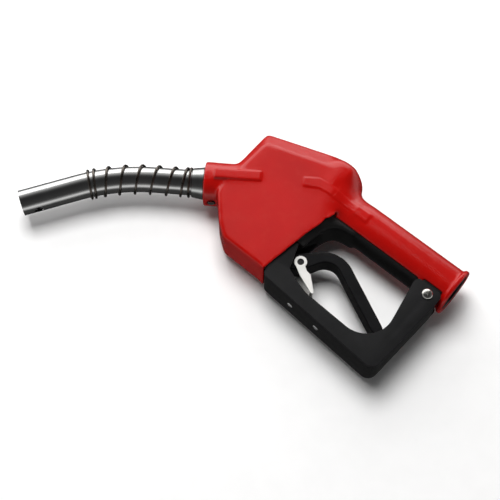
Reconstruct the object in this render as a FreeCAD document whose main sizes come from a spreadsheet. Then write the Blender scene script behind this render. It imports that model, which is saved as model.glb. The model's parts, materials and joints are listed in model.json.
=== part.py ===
import FreeCAD, Part
import math
import os
import Sketcher
from FreeCAD import Placement, Rotation, Vector

"""Automatic-shutoff fuel nozzle, lying on its side.

Frame, in millimetres: X is the handle's axis and points out of the inlet thread, whose mouth
centre is the origin. Y points to the nozzle's top, Z across it, and Z = 0 is its plane of
symmetry. The spout runs away to -X and -Y, and the lever and its guard hang on the -Y side.
"""

DIMENSIONS = {
    # the moulded cover and the casting under it
    "wall": 2.1,
    "handle_radius": 20.4,
    "handle_root_x": -126.0,
    "rim_radius": 22.8,
    "rim_start_x": -3.6,
    "rim_end_x": 0.6,
    "front_x": -227.4,
    "top_front_y": 13.9,
    "top_rear_x": -162.0,
    "dome_top_y": 36.6,
    "cheek_top_x": -124.0,
    "cheek_mid_x": -131.3,
    "cheek_mid_y": -49.0,
    "cheek_low_x": -139.0,
    "floor_y": -97.5,
    "toe_x": -186.0,
    "chin_x": -200.0,
    "chin_y": -87.5,
    "nose_x": -229.0,
    "nose_y": -57.0,
    "side_half": 22.9,
    "side_taper": 2.4,
    "bevel_half": 12.0,
    "top_bevel": 18.0,
    "front_bevel": 10.0,
    "dome_radius": 24.4,
    "dome_round": 12.0,
    "collar_radius": 20.5,
    "collar_end": 103.5,
    "nose_end": 101.5,
    "rib_width": 9.6,
    "rib_rise": 1.8,
    "slot_angle": 42.0,
    # fuel way
    "inlet_radius": 12.0,
    "inlet_depth": 20.0,
    "bore_radius": 10.5,
    "valve_x": -146.0,
    "chamber_radius": 19.0,
    "chamber_floor_y": -8.0,
    "seat_radius": 17.0,
    "seat_low_y": -14.0,
    "seat_top_y": -9.0,
    "outlet_radius": 13.0,
    "outlet_floor_y": -38.0,
    "way_radius": 10.5,
    "valve_lift": 4.2,
    "stem_radius": 3.0,
    "stem_end_y": -69.5,
    "ceiling_y": -56.0,
    # spout, measured along its root axis from the point where that meets the handle's axis
    "meet_x": -157.2,
    "spout_angle": 35.8,
    "tube_radius": 11.9,
    "tube_wall": 1.1,
    "tube_start": 100.0,
    "bend_start": 151.9,
    "bend_radius": 180.0,
    "bend_angle": 22.5,
    "tip_run": 53.9,
    "hole_radius": 4.2,
    "hole_back": 14.0,
    "ferrule_radius": 15.0,
    "ferrule_start": 82.0,
    "ferrule_end": 115.4,
    "socket_radius": 15.1,
    "screw_at": 96.0,
    "coil_wire": 2.3,
    "coil_start": 116.7,
    "check_start": 56.0,
    # trip unit, measured down its axis from the middle of the cover's sloping top
    "trip_x": -196.4,
    "trip_y": 24.7,
    "trip_tilt": 19.3,
    "fulcrum_depth": 110.7,
    "plunger_radius": 4.0,
    "plunger_travel": 7.0,
    "running_gap": 0.05,
    "disc_depth": 14.0,
    "disc_radius": 15.0,
    # lever, latch and guard
    "lever_half": 9.0,
    "pad_radius": 5.0,
    "pad_y": -74.8,
    "pin_radius": 2.5,
    "pivot_x": -119.8,
    "pivot_y": -68.7,
    "pivot_radius": 3.0,
    "latch_ring": 5.8,
    "latch_inner": 9.4,
    "latch_outer": 11.2,
    "latch_reach": 32.2,
    "latch_droop": 32.0,
    "cavity_half": 11.8,
    "lap_half": 14.8,
    "heel_half": 15.5,
    "guard_inner": 14.9,
    "guard_outer": 16.5,
    "guard_screw_x": -15.7,
    "guard_screw_y": -23.5,
    "guard_screw_radius": 2.5,
    "guard_floor_x": -126.0,
    "guard_floor_y": -101.9,
    "guard_floor_fall": 3.5,
    "rack_half": 1.5,
    "rivet_front_x": -103.4,
    "rivet_rear_x": -73.1,
}

doc = FreeCAD.newDocument("fuel_nozzle")
sheet = doc.addObject("Spreadsheet::Sheet", "Dims")
for row, (alias, number) in enumerate(DIMENSIONS.items(), start=1):
    sheet.set(f"A{row}", alias)
    sheet.set(f"B{row}", str(number))
    sheet.setAlias(f"B{row}", alias)
doc.recompute()

NODES = {}


def value(expression):
    """The number that an expression on the sheet's cells gives."""
    return float(sheet.evalExpression(str(expression)))


def dim(alias):
    """One driving dimension, as a number."""
    return value("Dims." + alias)


def bind(item, **settings):
    """Drive an object's properties from the sheet."""
    for prop, expression in settings.items():
        item.setExpression(prop, str(expression))
    return item


def node(item, label):
    """Mark an object as a sub-part, with its own label."""
    item.Label = label
    NODES[label] = item
    return item


# ---------------------------------------------------------------- places and directions

def turned_to(degrees, x=0.0, y=0.0, z=0.0):
    """Place whose own Y axis points at an angle from the row's X axis, in the XY plane."""
    return Placement(Vector(x, y, z), Rotation(Vector(0, 0, 1), degrees - 90.0))


SPOUT_HEADING = 180.0 + dim("spout_angle")
TRIP_HEADING = dim("trip_tilt") - 90.0
UP = turned_to(90.0, dim("valve_x"))
SPOUT = turned_to(SPOUT_HEADING, dim("meet_x"))
TRIP = turned_to(TRIP_HEADING, dim("trip_x"), dim("trip_y"))
ALONG_HANDLE = turned_to(0.0)
FULCRUM = TRIP.multVec(Vector(0, dim("fulcrum_depth"), 0))
Z_UP = Rotation(Vector(1, 0, 0), 90.0)


def across(x, y, z=0.0):
    """Place whose own Y axis is the row's Z, for what is turned about an axis across the nozzle."""
    return Placement(Vector(x, y, z), Z_UP)


# ---------------------------------------------------------------- ways of making a solid

def origin_plane(body, role):
    return next(item for item in body.Origin.OriginFeatures if item.Role == role)


def new_sketch(body, name, role="XY_Plane"):
    sketch = body.newObject("Sketcher::SketchObject", name)
    sketch.AttachmentSupport = [(origin_plane(body, role), "")]
    sketch.MapMode = "FlatFace"
    return sketch


def outline(sketch, corners):
    """Closed outline of straight edges, each corner held by two driven distances."""
    points = [Vector(value(x), value(y), 0) for x, y in corners]
    first = sketch.GeometryCount
    count = len(points)
    for start, end in zip(points, points[1:] + points[:1]):
        sketch.addGeometry(Part.LineSegment(start, end), False)
    for turn in range(count):
        edge = first + turn
        following = first + (turn + 1) % count
        sketch.addConstraint(Sketcher.Constraint("Coincident", edge, 2, following, 1))
        for kind, expression in zip(("DistanceX", "DistanceY"), corners[turn]):
            held = Sketcher.Constraint(kind, -1, 1, edge, 1, value(expression))
            index = sketch.addConstraint(held)
            sketch.setExpression(f"Constraints[{index}]", str(expression))


def turned(name, profile, place):
    """Body of revolution about its own Y axis, from (radius, height) corners."""
    body = doc.addObject("PartDesign::Body", name)
    sketch = new_sketch(body, name + "_profile")
    outline(sketch, profile)
    spin = body.newObject("PartDesign::Revolution", name + "_spin")
    spin.Profile = sketch
    spin.ReferenceAxis = (sketch, ["V_Axis"])
    spin.Angle = 360.0
    body.Placement = place
    return body


def plate(name, corners, thickness, place=None, rounds=()):
    """Body padded evenly about its own XY plane, with some corners rounded."""
    body = doc.addObject("PartDesign::Body", name)
    sketch = new_sketch(body, name + "_outline")
    outline(sketch, corners)
    pad = body.newObject("PartDesign::Pad", name + "_pad")
    pad.Profile = sketch
    pad.SideType = "Symmetric"
    bind(pad, Length=thickness)
    doc.recompute()
    feature = pad
    for number, (radius, spots) in enumerate(rounds):
        feature = rounded(body, feature, f"{name}_round{number}", radius, spots)
    if place:
        body.Placement = place
    return body


def rounded(body, feature, name, radius, spots):
    """Fillet on the upright edges that stand at the given corners."""
    wanted = [Vector(value(x), value(y), 0) for x, y in spots]
    names = []
    for index, edge in enumerate(feature.Shape.Edges, start=1):
        start, end = edge.Vertexes[0].Point, edge.Vertexes[-1].Point
        upright = abs(start.x - end.x) < 1e-6 and abs(start.y - end.y) < 1e-6
        foot = Vector(start.x, start.y, 0)
        if upright and any(foot.distanceToPoint(spot) < 0.01 for spot in wanted):
            names.append(f"Edge{index}")
    if len(names) < len(wanted):
        raise ValueError(f"{name}: found {len(names)} of {len(wanted)} edges")
    fillet = body.newObject("PartDesign::Fillet", name)
    fillet.Base = (feature, names)
    bind(fillet, Radius=radius)
    doc.recompute()
    return fillet


def box(name, low, high):
    """Block between two corners, each a triple of expressions."""
    block = doc.addObject("Part::Box", name)
    bind(block, Length=f"({high[0]}) - ({low[0]})", Width=f"({high[1]}) - ({low[1]})",
         Height=f"({high[2]}) - ({low[2]})")
    block.Placement = Placement(Vector(*(value(number) for number in low)), Rotation())
    return block


def rod(name, radius, start, end, place):
    """Cylinder along a place's own Y axis, from one height to another."""
    cylinder = doc.addObject("Part::Cylinder", name)
    bind(cylinder, Radius=radius, Height=f"({end}) - ({start})")
    lay_down = Placement(Vector(0, value(start), 0), Rotation(Vector(1, 0, 0), -90.0))
    cylinder.Placement = place.multiply(lay_down)
    return cylinder


def hexagon(name, radius, start, end, place):
    """Six-sided bar along a place's own Y axis."""
    prism = doc.addObject("Part::Prism", name)
    prism.Polygon = 6
    bind(prism, Circumradius=radius, Height=f"({end}) - ({start})")
    lay_down = Placement(Vector(0, value(start), 0), Rotation(Vector(1, 0, 0), -90.0))
    prism.Placement = place.multiply(lay_down)
    return prism


def joined(name, shapes):
    fusion = doc.addObject("Part::MultiFuse", name)
    fusion.Shapes = shapes
    return fusion


def less(name, base, tools):
    """Base with the tools cut away."""
    cut = doc.addObject("Part::Cut", name)
    cut.Base = base
    cut.Tool = tools[0] if len(tools) == 1 else joined(name + "_tools", tools)
    return cut


def overlap(name, first, second):
    common = doc.addObject("Part::Common", name)
    common.Base = first
    common.Tool = second
    return common


def mirrored(name, source):
    """The same solid on the other side of the nozzle's plane."""
    twin = doc.addObject("Part::Mirroring", name)
    twin.Source = source
    twin.Normal = Vector(0, 0, 1)
    return twin


def coil(name, radius, wire, start, end, turns, place):
    """Round-wire spring along a place's own Y axis, swept along a helix."""
    lay_down = Placement(Vector(0, value(start), 0), Rotation(Vector(1, 0, 0), -90.0))
    helix = doc.addObject("Part::Helix", name + "_helix")
    bind(helix, Radius=radius, Height=f"({end}) - ({start})", Pitch=f"(({end}) - ({start})) / {turns}")
    section = doc.addObject("Part::Circle", name + "_section")
    bind(section, Radius=wire)
    section.Placement = Placement(Vector(value(radius), 0, 0), Rotation(Vector(1, 0, 0), 90.0))
    sweep = doc.addObject("Part::Sweep", name)
    sweep.Sections = [section]
    sweep.Spine = (helix, [])
    sweep.Solid = True
    sweep.Frenet = True
    sweep.Placement = place.multiply(lay_down)
    return sweep


# ---------------------------------------------------------------- cover and casting envelopes

def cheek_outline(inset):
    """Side view of the cover's big flat block, drawn in by an inset except at its rear edge."""
    lean = "(Dims.cheek_mid_x - Dims.cheek_low_x) / (Dims.cheek_mid_y - Dims.floor_y)"
    return [
        (f"Dims.front_x + {inset}", f"Dims.top_front_y - 1.2 * {inset}"),
        ("Dims.top_rear_x", f"Dims.dome_top_y - {inset}"),
        ("Dims.valve_x", f"Dims.dome_top_y - {inset}"),
        (f"Dims.cheek_top_x - {inset}", "12"),
        (f"Dims.cheek_top_x - {inset}", "-14"),
        ("Dims.cheek_top_x", "-14.2"),
        ("Dims.cheek_top_x", "-17.4"),
        ("Dims.cheek_mid_x", "Dims.cheek_mid_y"),
        (f"Dims.cheek_low_x + {inset} * {lean}", f"Dims.floor_y + {inset}"),
        (f"Dims.toe_x + 0.4 * {inset}", f"Dims.floor_y + {inset}"),
        (f"Dims.chin_x + 0.7 * {inset}", f"Dims.chin_y + 0.9 * {inset}"),
        (f"Dims.nose_x + {inset}", f"Dims.nose_y + 0.5 * {inset}"),
        (f"Dims.front_x + {inset}", "-25"),
    ]


def side_trimmers(name, inset):
    """Blocks beyond the tapered side, the sloping top's bevel and the front's bevel."""
    far = 200.0
    shift = value(inset)
    blocks = []

    def beyond(part, point, across_angle, turn):
        block = doc.addObject("Part::Box", f"{name}_{part}")
        bind(block, Length="400", Width="400", Height="60")
        spin = Rotation(Vector(0, 0, 1), turn).multiply(Rotation(Vector(1, 0, 0), across_angle))
        corner = spin.multVec(Vector(-far, -far, 0))
        block.Placement = Placement(point + corner, spin)
        blocks.append(block)

    taper = dim("side_taper")
    beyond("side", Vector(dim("trip_x"), 0, dim("side_half") - shift), taper, 0.0)
    rise = dim("side_half") - dim("bevel_half")
    top_slope = math.degrees(math.atan2(rise, dim("top_bevel")))
    front_slope = math.degrees(math.atan2(rise, dim("front_bevel")))
    top = Vector(dim("trip_x"), dim("trip_y"), dim("bevel_half"))
    inward = TRIP.Rotation.multVec(Vector(0, shift * math.sin(math.radians(top_slope)), 0))
    lower = Vector(0, 0, shift * math.cos(math.radians(top_slope)))
    beyond("top", top + inward - lower, -top_slope, dim("trip_tilt"))
    front = Vector(dim("front_x") + shift * math.sin(math.radians(front_slope)), 0,
                   dim("bevel_half") - shift * math.cos(math.radians(front_slope)))
    beyond("front", front, -front_slope, 90.0)
    near = joined(name + "_near", blocks)
    return [near, mirrored(name + "_far", near)]


def dome_profile(inset):
    """Round housing over the main valve; its top edge is broken by three short flats."""
    radius = f"(Dims.dome_radius - {inset})"
    top = f"(Dims.dome_top_y - {inset})"
    edge = "Dims.dome_round"
    return [
        ("0", "-24"),
        (f"{radius} - 8", "-24"),
        (f"{radius} - 1.4", "-4"),
        (radius, "8"),
        (radius, f"{top} - {edge}"),
        (f"{radius} - 0.134 * {edge}", f"{top} - 0.5 * {edge}"),
        (f"{radius} - 0.5 * {edge}", f"{top} - 0.134 * {edge}"),
        (f"{radius} - {edge}", top),
        ("0", top),
    ]


def envelope(name, inset, handle_end, collar_end):
    """Cover-shaped solid: flat block, valve dome, round handle and spout collar."""
    block = plate(f"{name}_block", cheek_outline(inset), "60")
    trimmed = less(f"{name}_cheeks", block, side_trimmers(f"{name}_trim", inset))
    dome = turned(f"{name}_dome", dome_profile(inset), UP)
    radius = f"Dims.handle_radius - {inset}"
    handle = rod(f"{name}_handle", radius, "Dims.handle_root_x - 12", handle_end, ALONG_HANDLE)
    collar = rod(f"{name}_collar", f"Dims.collar_radius - {inset}", "60", collar_end, SPOUT)
    return [trimmed, dome, handle, collar]


OUTER = envelope("cover", "0", "Dims.rim_end_x", "Dims.collar_end")
INNER = envelope("casting", "Dims.wall", "0", "Dims.nose_end")
SLOT_WEDGE = plate("slot_wedge", [("0", "0"), ("-30", "-30 * tan(Dims.slot_angle * 1 deg)"),
                                  ("-30", "30 * tan(Dims.slot_angle * 1 deg)")],
                   "96", Placement(Vector(-79, 0, 0), Rotation(Vector(0, 1, 0), 90.0)
                                   .multiply(Rotation(Vector(0, 0, 1), 90.0))))


def lug_block(name, gap):
    """Block under the handle's end that the guard's rear ears are screwed to."""
    return box(name, (f"-26 - {gap}", "-31", f"-Dims.lap_half - {gap}"),
               (f"-7 + {gap}", "-12", f"Dims.lap_half + {gap}"))


# ---------------------------------------------------------------- scuff cover

def make_cover():
    """Soft moulded cover: a shell over the casting, open under the lever and the handle."""
    rim = rod("cover_rim", "Dims.rim_radius", "Dims.rim_start_x", "Dims.rim_end_x", ALONG_HANDLE)
    half = "Dims.rib_width / 2"
    rib_front = plate("rib_front", [(f"-{half}", "51"), (half, "51"), (half, "94"), (f"-{half}", "94")],
                      "2 * (Dims.side_half + 0.4)", SPOUT)
    rib_rear = plate("rib_rear", [
        ("-168.5", "-5.5"), ("-156.5", "3.2"), ("-143", "4.6"), ("-98", half), ("-98", f"-{half}"),
        ("-141", "-5.2"), ("-150", "-6.2"), ("-163", "-14"),
    ], "2 * (Dims.side_half + 0.6)")
    skin_limit = rod("rib_limit", "Dims.handle_radius + 0.9", "-190", "-60", ALONG_HANDLE)
    wide_limit = box("rib_wide_limit", ("-190", "-40", "-30"), ("-138", "40", "30"))
    rib_rear_kept = overlap("rib_rear_kept", rib_rear, joined("rib_limits", [skin_limit, wide_limit]))
    outside = joined("cover_outside", OUTER + [rim, rib_front, rib_rear_kept])
    tools = INNER + [
        SLOT_WEDGE,
        lug_block("cover_lug_gap", "0.2"),
        rod("cover_mouth", "Dims.handle_radius - Dims.wall", "-5", "5", ALONG_HANDLE),
        rod("cover_nose", "Dims.ferrule_radius + 0.6", "95", "110", SPOUT),
        rod("cover_screw_hole", "3.9", "10", "30", turned_to(SPOUT_HEADING + 90, *screw_seat())),
    ]
    node(less("scuff_cover", outside, tools), "scuff_cover")


def screw_seat():
    """Point on the spout's axis abreast of its retaining screw."""
    point = SPOUT.multVec(Vector(0, dim("screw_at"), 0))
    return point.x, point.y


# ---------------------------------------------------------------- casting

def make_casting():
    """Body casting: handle bore, valve chamber, outlet, check valve chamber and trip bore."""
    strip = overlap("underside_strip", rod("strip_round", "Dims.handle_radius - 0.2", "-127", "-31",
                                           ALONG_HANDLE), SLOT_WEDGE)
    heel = plate("heel", [
        ("-140", "-15.3"), ("-98", "-15.3"), ("-98", "-19.9"), ("-110.6", "-21"), ("-116.5", "-23.8"),
        ("-120", "-28"), ("-122", "-33"), ("-124", "-45"), ("-126.3", "-57.5"), ("-140", "-57.5"),
    ], "2 * Dims.heel_half")
    solid = joined("casting_solid", INNER + [strip, heel, lug_block("lug", "0")])
    ways = [
        rod("inlet_way", "Dims.inlet_radius", "-Dims.inlet_depth", "1", ALONG_HANDLE),
        rod("handle_way", "Dims.bore_radius", "Dims.valve_x", "-19", ALONG_HANDLE),
        rod("chamber", "Dims.chamber_radius", "Dims.chamber_floor_y", "60", UP),
        rod("seat_way", "Dims.seat_radius", "Dims.seat_low_y", "0", UP),
        rod("outlet_chamber", "Dims.outlet_radius", "Dims.outlet_floor_y", "-13", UP),
        rod("outlet_way", "Dims.way_radius", "0", "62", turned_to(189.2, dim("valve_x"), -26.0)),
        rod("check_chamber", "13", "Dims.check_start", "83", SPOUT),
        rod("ferrule_socket", "Dims.socket_radius", "Dims.ferrule_start", "120", SPOUT),
        rod("cap_well", "Dims.disc_radius", "-20", "Dims.disc_depth + 0.8", TRIP),
        rod("vacuum_well", "11", "Dims.disc_depth", "20", TRIP),
    ]
    guide = rod("plunger_guide", "6.5", "40", "80", TRIP)
    bores = [
        rod("latch_ring_well", "9", "19", "26", TRIP),
        rod("trip_bore", "7", "25", "48", TRIP),
        rod("plunger_bore", "Dims.plunger_radius + Dims.running_gap", "47", "112", TRIP),
        rod("stem_way", "Dims.stem_radius + 0.3", "-43", "-37", UP),
        rod("packing_well", "7", "-70", "-42", UP),
        rod("set_screw_way", "3", "10", "30", turned_to(SPOUT_HEADING + 90, *screw_seat())),
        rod("lug_hole", "Dims.guard_screw_radius + Dims.running_gap", "-30", "30",
            across(dim("guard_screw_x"), dim("guard_screw_y"))),
    ]
    cavity = plate("lever_cavity", [
        ("-182", "-115"), ("-182", "-62"), ("-168", "Dims.ceiling_y"), ("-137", "Dims.ceiling_y"),
        ("-133", "-48"), ("-129.5", "-40"), ("-126.5", "-35.5"), ("-123", "-34.5"), ("-110", "-34.5"),
        ("-110", "-115"),
    ], "2 * Dims.cavity_half")
    lap_low = ("-157", "-120", "Dims.lap_half")
    lap = box("guard_lap", lap_low, ("-110", "-57.5", "30"))
    laps = [lap, mirrored("guard_lap_far", lap)]
    opened = less("casting_opened", solid, ways + [cavity] + laps)
    walled = joined("casting_walled", [opened, overlap("guide_kept", guide, INNER[0])])
    node(less("nozzle_body", walled, bores + [cavity_notch(), FRONT_SCREWS]), "nozzle_body")


def cavity_notch():
    """Lever cavity again, for what the plunger guide leaves in it."""
    return box("guide_end", ("-182", "-115", "-8"), ("-150", "Dims.ceiling_y - 1", "8"))


# ---------------------------------------------------------------- spout

def spout_path(offset=0.0, start="Dims.tube_start", back=0.0):
    """Straight root, one bend and straight tip, beside the spout's axis by an offset."""
    root, turn = value(start), math.radians(dim("bend_angle"))
    radius = dim("bend_radius") - offset
    centre = Vector(dim("bend_radius"), dim("bend_start"), 0)

    def on_arc(angle):
        return centre + Vector(-radius * math.cos(angle), radius * math.sin(angle), 0)

    heading = Vector(math.sin(turn), math.cos(turn), 0)
    run = dim("tip_run") - back
    first = Vector(offset, root, 0)
    edges = [
        Part.LineSegment(first, on_arc(0)).toShape(),
        Part.Arc(on_arc(0), on_arc(turn / 2), on_arc(turn)).toShape(),
        Part.LineSegment(on_arc(turn), on_arc(turn) + heading * run).toShape(),
    ]
    path = Part.Wire(edges)
    path.Placement = SPOUT.multiply(bend_side())
    return path


def bend_side():
    """Turn about the spout's root axis that puts the bend's centre on the lever's side."""
    return Placement(Vector(0, 0, 0), Rotation(Vector(0, 1, 0), 180.0))


def pipe(name, path, outer, inner):
    """Round tube along a path, as one sweep less another."""
    start = path.Edges[0].valueAt(path.Edges[0].FirstParameter)
    along = path.Edges[0].tangentAt(path.Edges[0].FirstParameter)

    def swept(radius):
        ring = Part.Wire([Part.Circle(start, along, radius).toShape()])
        return path.makePipeShell([ring], True, False)

    feature = doc.addObject("Part::Feature", name)
    feature.Shape = swept(outer).cut(swept(inner))
    return feature


def tip_place(back, side):
    """Place on the tip's axis, some way back, whose Y axis points at one side of the spout."""
    turn = math.radians(dim("bend_angle"))
    corner = dim("bend_radius") * math.tan(turn / 2)
    length = corner + dim("tip_run") - back
    knee = Vector(0, dim("bend_start") + corner, 0)
    point = knee + Vector(-math.sin(turn) * length, math.cos(turn) * length, 0)
    spot = SPOUT.multVec(point)
    return turned_to(SPOUT_HEADING + dim("bend_angle") + side, spot.x, spot.y)


def make_spout():
    inner = dim("tube_radius") - dim("tube_wall")
    tube = pipe("tube_blank", spout_path(), dim("tube_radius"), inner)
    hole = rod("sensing_hole", "Dims.hole_radius", "0", "20", tip_place(dim("hole_back"), 90.0))
    node(less("spout_tube", tube, [hole]), "spout_tube")
    node(pipe("vent_tube", spout_path(7.4, "Dims.tube_start + 1", 16.0), 2.2, 1.5), "vent_tube")
    beside = tip_place(9.0, 180.0).multiply(Placement(Vector(7.4, 0, 0), Rotation()))
    barrel = turned("fitting_barrel", [("0", "0"), ("3.3", "0"), ("3.3", "11"), ("2.2", "11"), ("2.2", "7"),
                                       ("1.5", "7"), ("1.5", "4"), ("0", "4")], beside)
    port = rod("fitting_port", "1.6", "7.4", "12", tip_place(dim("hole_back"), 90.0))
    node(less("tip_fitting", barrel, [port]), "tip_fitting")
    node(turned("spout_ferrule", [
        ("10", "82"), ("Dims.ferrule_radius", "82"), ("Dims.ferrule_radius", "84.5"), ("12.8", "84.5"),
        ("12.8", "87"), ("Dims.ferrule_radius", "87"), ("Dims.ferrule_radius", "89.5"), ("12.8", "89.5"),
        ("12.8", "92"), ("Dims.ferrule_radius", "92"), ("Dims.ferrule_radius", "92.4"), ("13.2", "92.8"),
        ("13.2", "99.2"), ("Dims.ferrule_radius", "99.8"), ("Dims.ferrule_radius", "104"),
        ("15.2", "104.4"), ("13.6", "Dims.ferrule_end - 0.6"), ("13.1", "Dims.ferrule_end"),
        ("Dims.tube_radius", "Dims.ferrule_end"), ("Dims.tube_radius", "Dims.tube_start"),
        ("10", "Dims.tube_start"),
    ], SPOUT), "spout_ferrule")
    rings = []
    for number, height in enumerate(("85.75", "90.75")):
        rings.append(torus(f"ferrule_ring{number}", "13.9", "1.05", height, SPOUT))
    node(joined("ferrule_o_rings", rings), "ferrule_o_rings")
    seat = turned_to(SPOUT_HEADING + 90, *screw_seat())
    screw = rod("set_screw_rod", "3", "13.3", "20.4", seat)
    socket = hexagon("set_screw_socket", "1.8", "17", "25", seat)
    node(less("spout_set_screw", screw, [socket]), "spout_set_screw")


def torus(name, radius, thickness, height, place):
    """Round ring about a place's own Y axis."""
    ring = doc.addObject("Part::Torus", name)
    bind(ring, Radius1=radius, Radius2=thickness)
    lay_down = Placement(Vector(0, value(height), 0), Rotation(Vector(1, 0, 0), -90.0))
    ring.Placement = place.multiply(lay_down)
    return ring


def make_spout_coil():
    """Wire guard spring round the spout's bend: close turns at its ends, open ones between."""
    pitches = [2.5, 11.3] + [15.2] * 4 + [13.5, 5.8, 2.5]
    steps = 16
    radius = dim("tube_radius") + dim("coil_wire") / 2 + 0.15
    bend, start = dim("bend_radius"), dim("bend_start")
    place = SPOUT.multiply(bend_side())
    points = []
    length = dim("coil_start")
    for pitch in pitches:
        for step in range(steps):
            angle = 2 * math.pi * step / steps + math.pi
            reach = length + pitch * step / steps
            turn = min(max((reach - start) / bend, 0.0), math.radians(dim("bend_angle")))
            past = max(reach - start - bend * math.radians(dim("bend_angle")), 0.0)
            axis = Vector(bend * (1 - math.cos(turn)), min(reach, start) + bend * math.sin(turn), 0)
            axis = axis + Vector(math.sin(turn), math.cos(turn), 0) * past
            side = Vector(math.cos(turn), -math.sin(turn), 0) * (radius * math.cos(angle))
            points.append(place.multVec(axis + side + Vector(0, 0, radius * math.sin(angle))))
        length += pitch
    curve = Part.BSplineCurve()
    curve.interpolate(points)
    path = Part.Wire([curve.toShape()])
    along = path.Edges[0].tangentAt(path.Edges[0].FirstParameter)
    ring = Part.Wire([Part.Circle(points[0], along, dim("coil_wire") / 2).toShape()])
    feature = doc.addObject("Part::Feature", "spout_spring")
    feature.Shape = path.makePipeShell([ring], True, True)
    node(feature, "spout_spring")


# ---------------------------------------------------------------- valves

def make_check_valve():
    node(turned("check_seat", [("8", "57"), ("13", "57"), ("13", "62"), ("9.4", "62"), ("8", "60.6")],
                SPOUT), "check_seat")
    node(turned("check_poppet", [
        ("0", "60.3"), ("6", "60.3"), ("7.8", "60.8"), ("9.6", "62.4"), ("9.6", "65"), ("2.4", "67"),
        ("2.4", "84"), ("0", "84"),
    ], SPOUT), "check_poppet")
    spider = turned("check_spider", [("2.45", "78"), ("13", "78"), ("13", "81"), ("2.45", "81")], SPOUT)
    ports = []
    for number in range(3):
        spin = Rotation(Vector(0, 1, 0), 120.0 * number)
        place = SPOUT.multiply(Placement(spin.multVec(Vector(7.9, 0, 0)), Rotation()))
        ports.append(rod(f"spider_port{number}", "3.7", "70", "90", place))
    node(less("check_guide", spider, ports), "check_guide")
    node(coil("check_spring", "4", "0.45", "70.6", "77.4", 4, SPOUT), "check_spring")


def make_main_valve():
    node(turned("main_seat", [
        ("11.5", "Dims.seat_low_y"), ("Dims.seat_radius", "Dims.seat_low_y"),
        ("Dims.seat_radius", "Dims.seat_top_y"), ("13.2", "Dims.seat_top_y"), ("11.5", "-10.2"),
    ], UP), "main_seat")
    node(turned("main_poppet", [
        ("0", "-6.8"), ("15", "-6.8"), ("15", "-3.4"), ("7", "-1.6"), ("5", "-1.6"), ("5", "17"),
        ("0", "17"),
    ], UP), "main_poppet")
    node(turned("poppet_disc", [("Dims.stem_radius", "-8.8"), ("14.4", "-8.8"), ("14.4", "-6.8"),
                                ("Dims.stem_radius", "-6.8")], UP), "poppet_disc")
    node(turned("valve_stem", [("0", "Dims.stem_end_y"), ("2.2", "Dims.stem_end_y"),
                               ("Dims.stem_radius", "Dims.stem_end_y + 0.8"),
                               ("Dims.stem_radius", "-6.8"), ("0", "-6.8")], UP), "valve_stem")
    node(coil("main_spring", "9", "0.9", "3.6", "22.9", 6, UP), "main_spring")
    cap = turned("cap_blank", [
        ("5.06", "12"), ("7.6", "12"), ("7.6", "24"), ("16.6", "24"), ("16.6", "26.6"),
        ("Dims.chamber_radius", "26.6"), ("Dims.chamber_radius", "28.5"), ("0", "28.5"), ("0", "22.4"),
        ("5.06", "22.4"),
    ], UP)
    head = hexagon("cap_head", "13.5", "28.5", "32", UP)
    node(joined("main_cap", [cap, head]), "main_cap")
    node(torus("cap_o_ring", "17.8", "1.15", "25.3", UP), "cap_o_ring")
    node(turned("stem_seal", [("3.05", "-48"), ("7", "-48"), ("7", "-42"), ("3.05", "-42")], UP),
         "stem_seal")
    barrel = turned("nut_barrel", [("3.08", "-59"), ("7", "-59"), ("7", "-48"), ("3.08", "-48")], UP)
    flats = less("nut_flats", hexagon("nut_hexagon", "8", "-60.2", "-56", UP),
                 [rod("nut_bore", "3.08", "-62", "-54", UP)])
    node(joined("packing_nut", [barrel, flats]), "packing_nut")
    basket = turned("inlet_screen", [
        ("8.6", "-46"), ("8.6", "-22"), ("Dims.bore_radius", "-22"), ("Dims.bore_radius", "-20.6"),
        ("8", "-20.6"), ("8", "-45.4"), ("0", "-45.4"), ("0", "-46"),
    ], ALONG_HANDLE)
    slits = []
    for number in range(6):
        turn = Rotation(Vector(1, 0, 0), 60.0 * number)
        place = Placement(Vector(-34, 0, 0), turn)
        slits.append(rod(f"screen_slit{number}", "2.6", "6", "12", place))
    node(less("inlet_screen_cut", basket, slits), "inlet_screen")


# ---------------------------------------------------------------- trip unit

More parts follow.
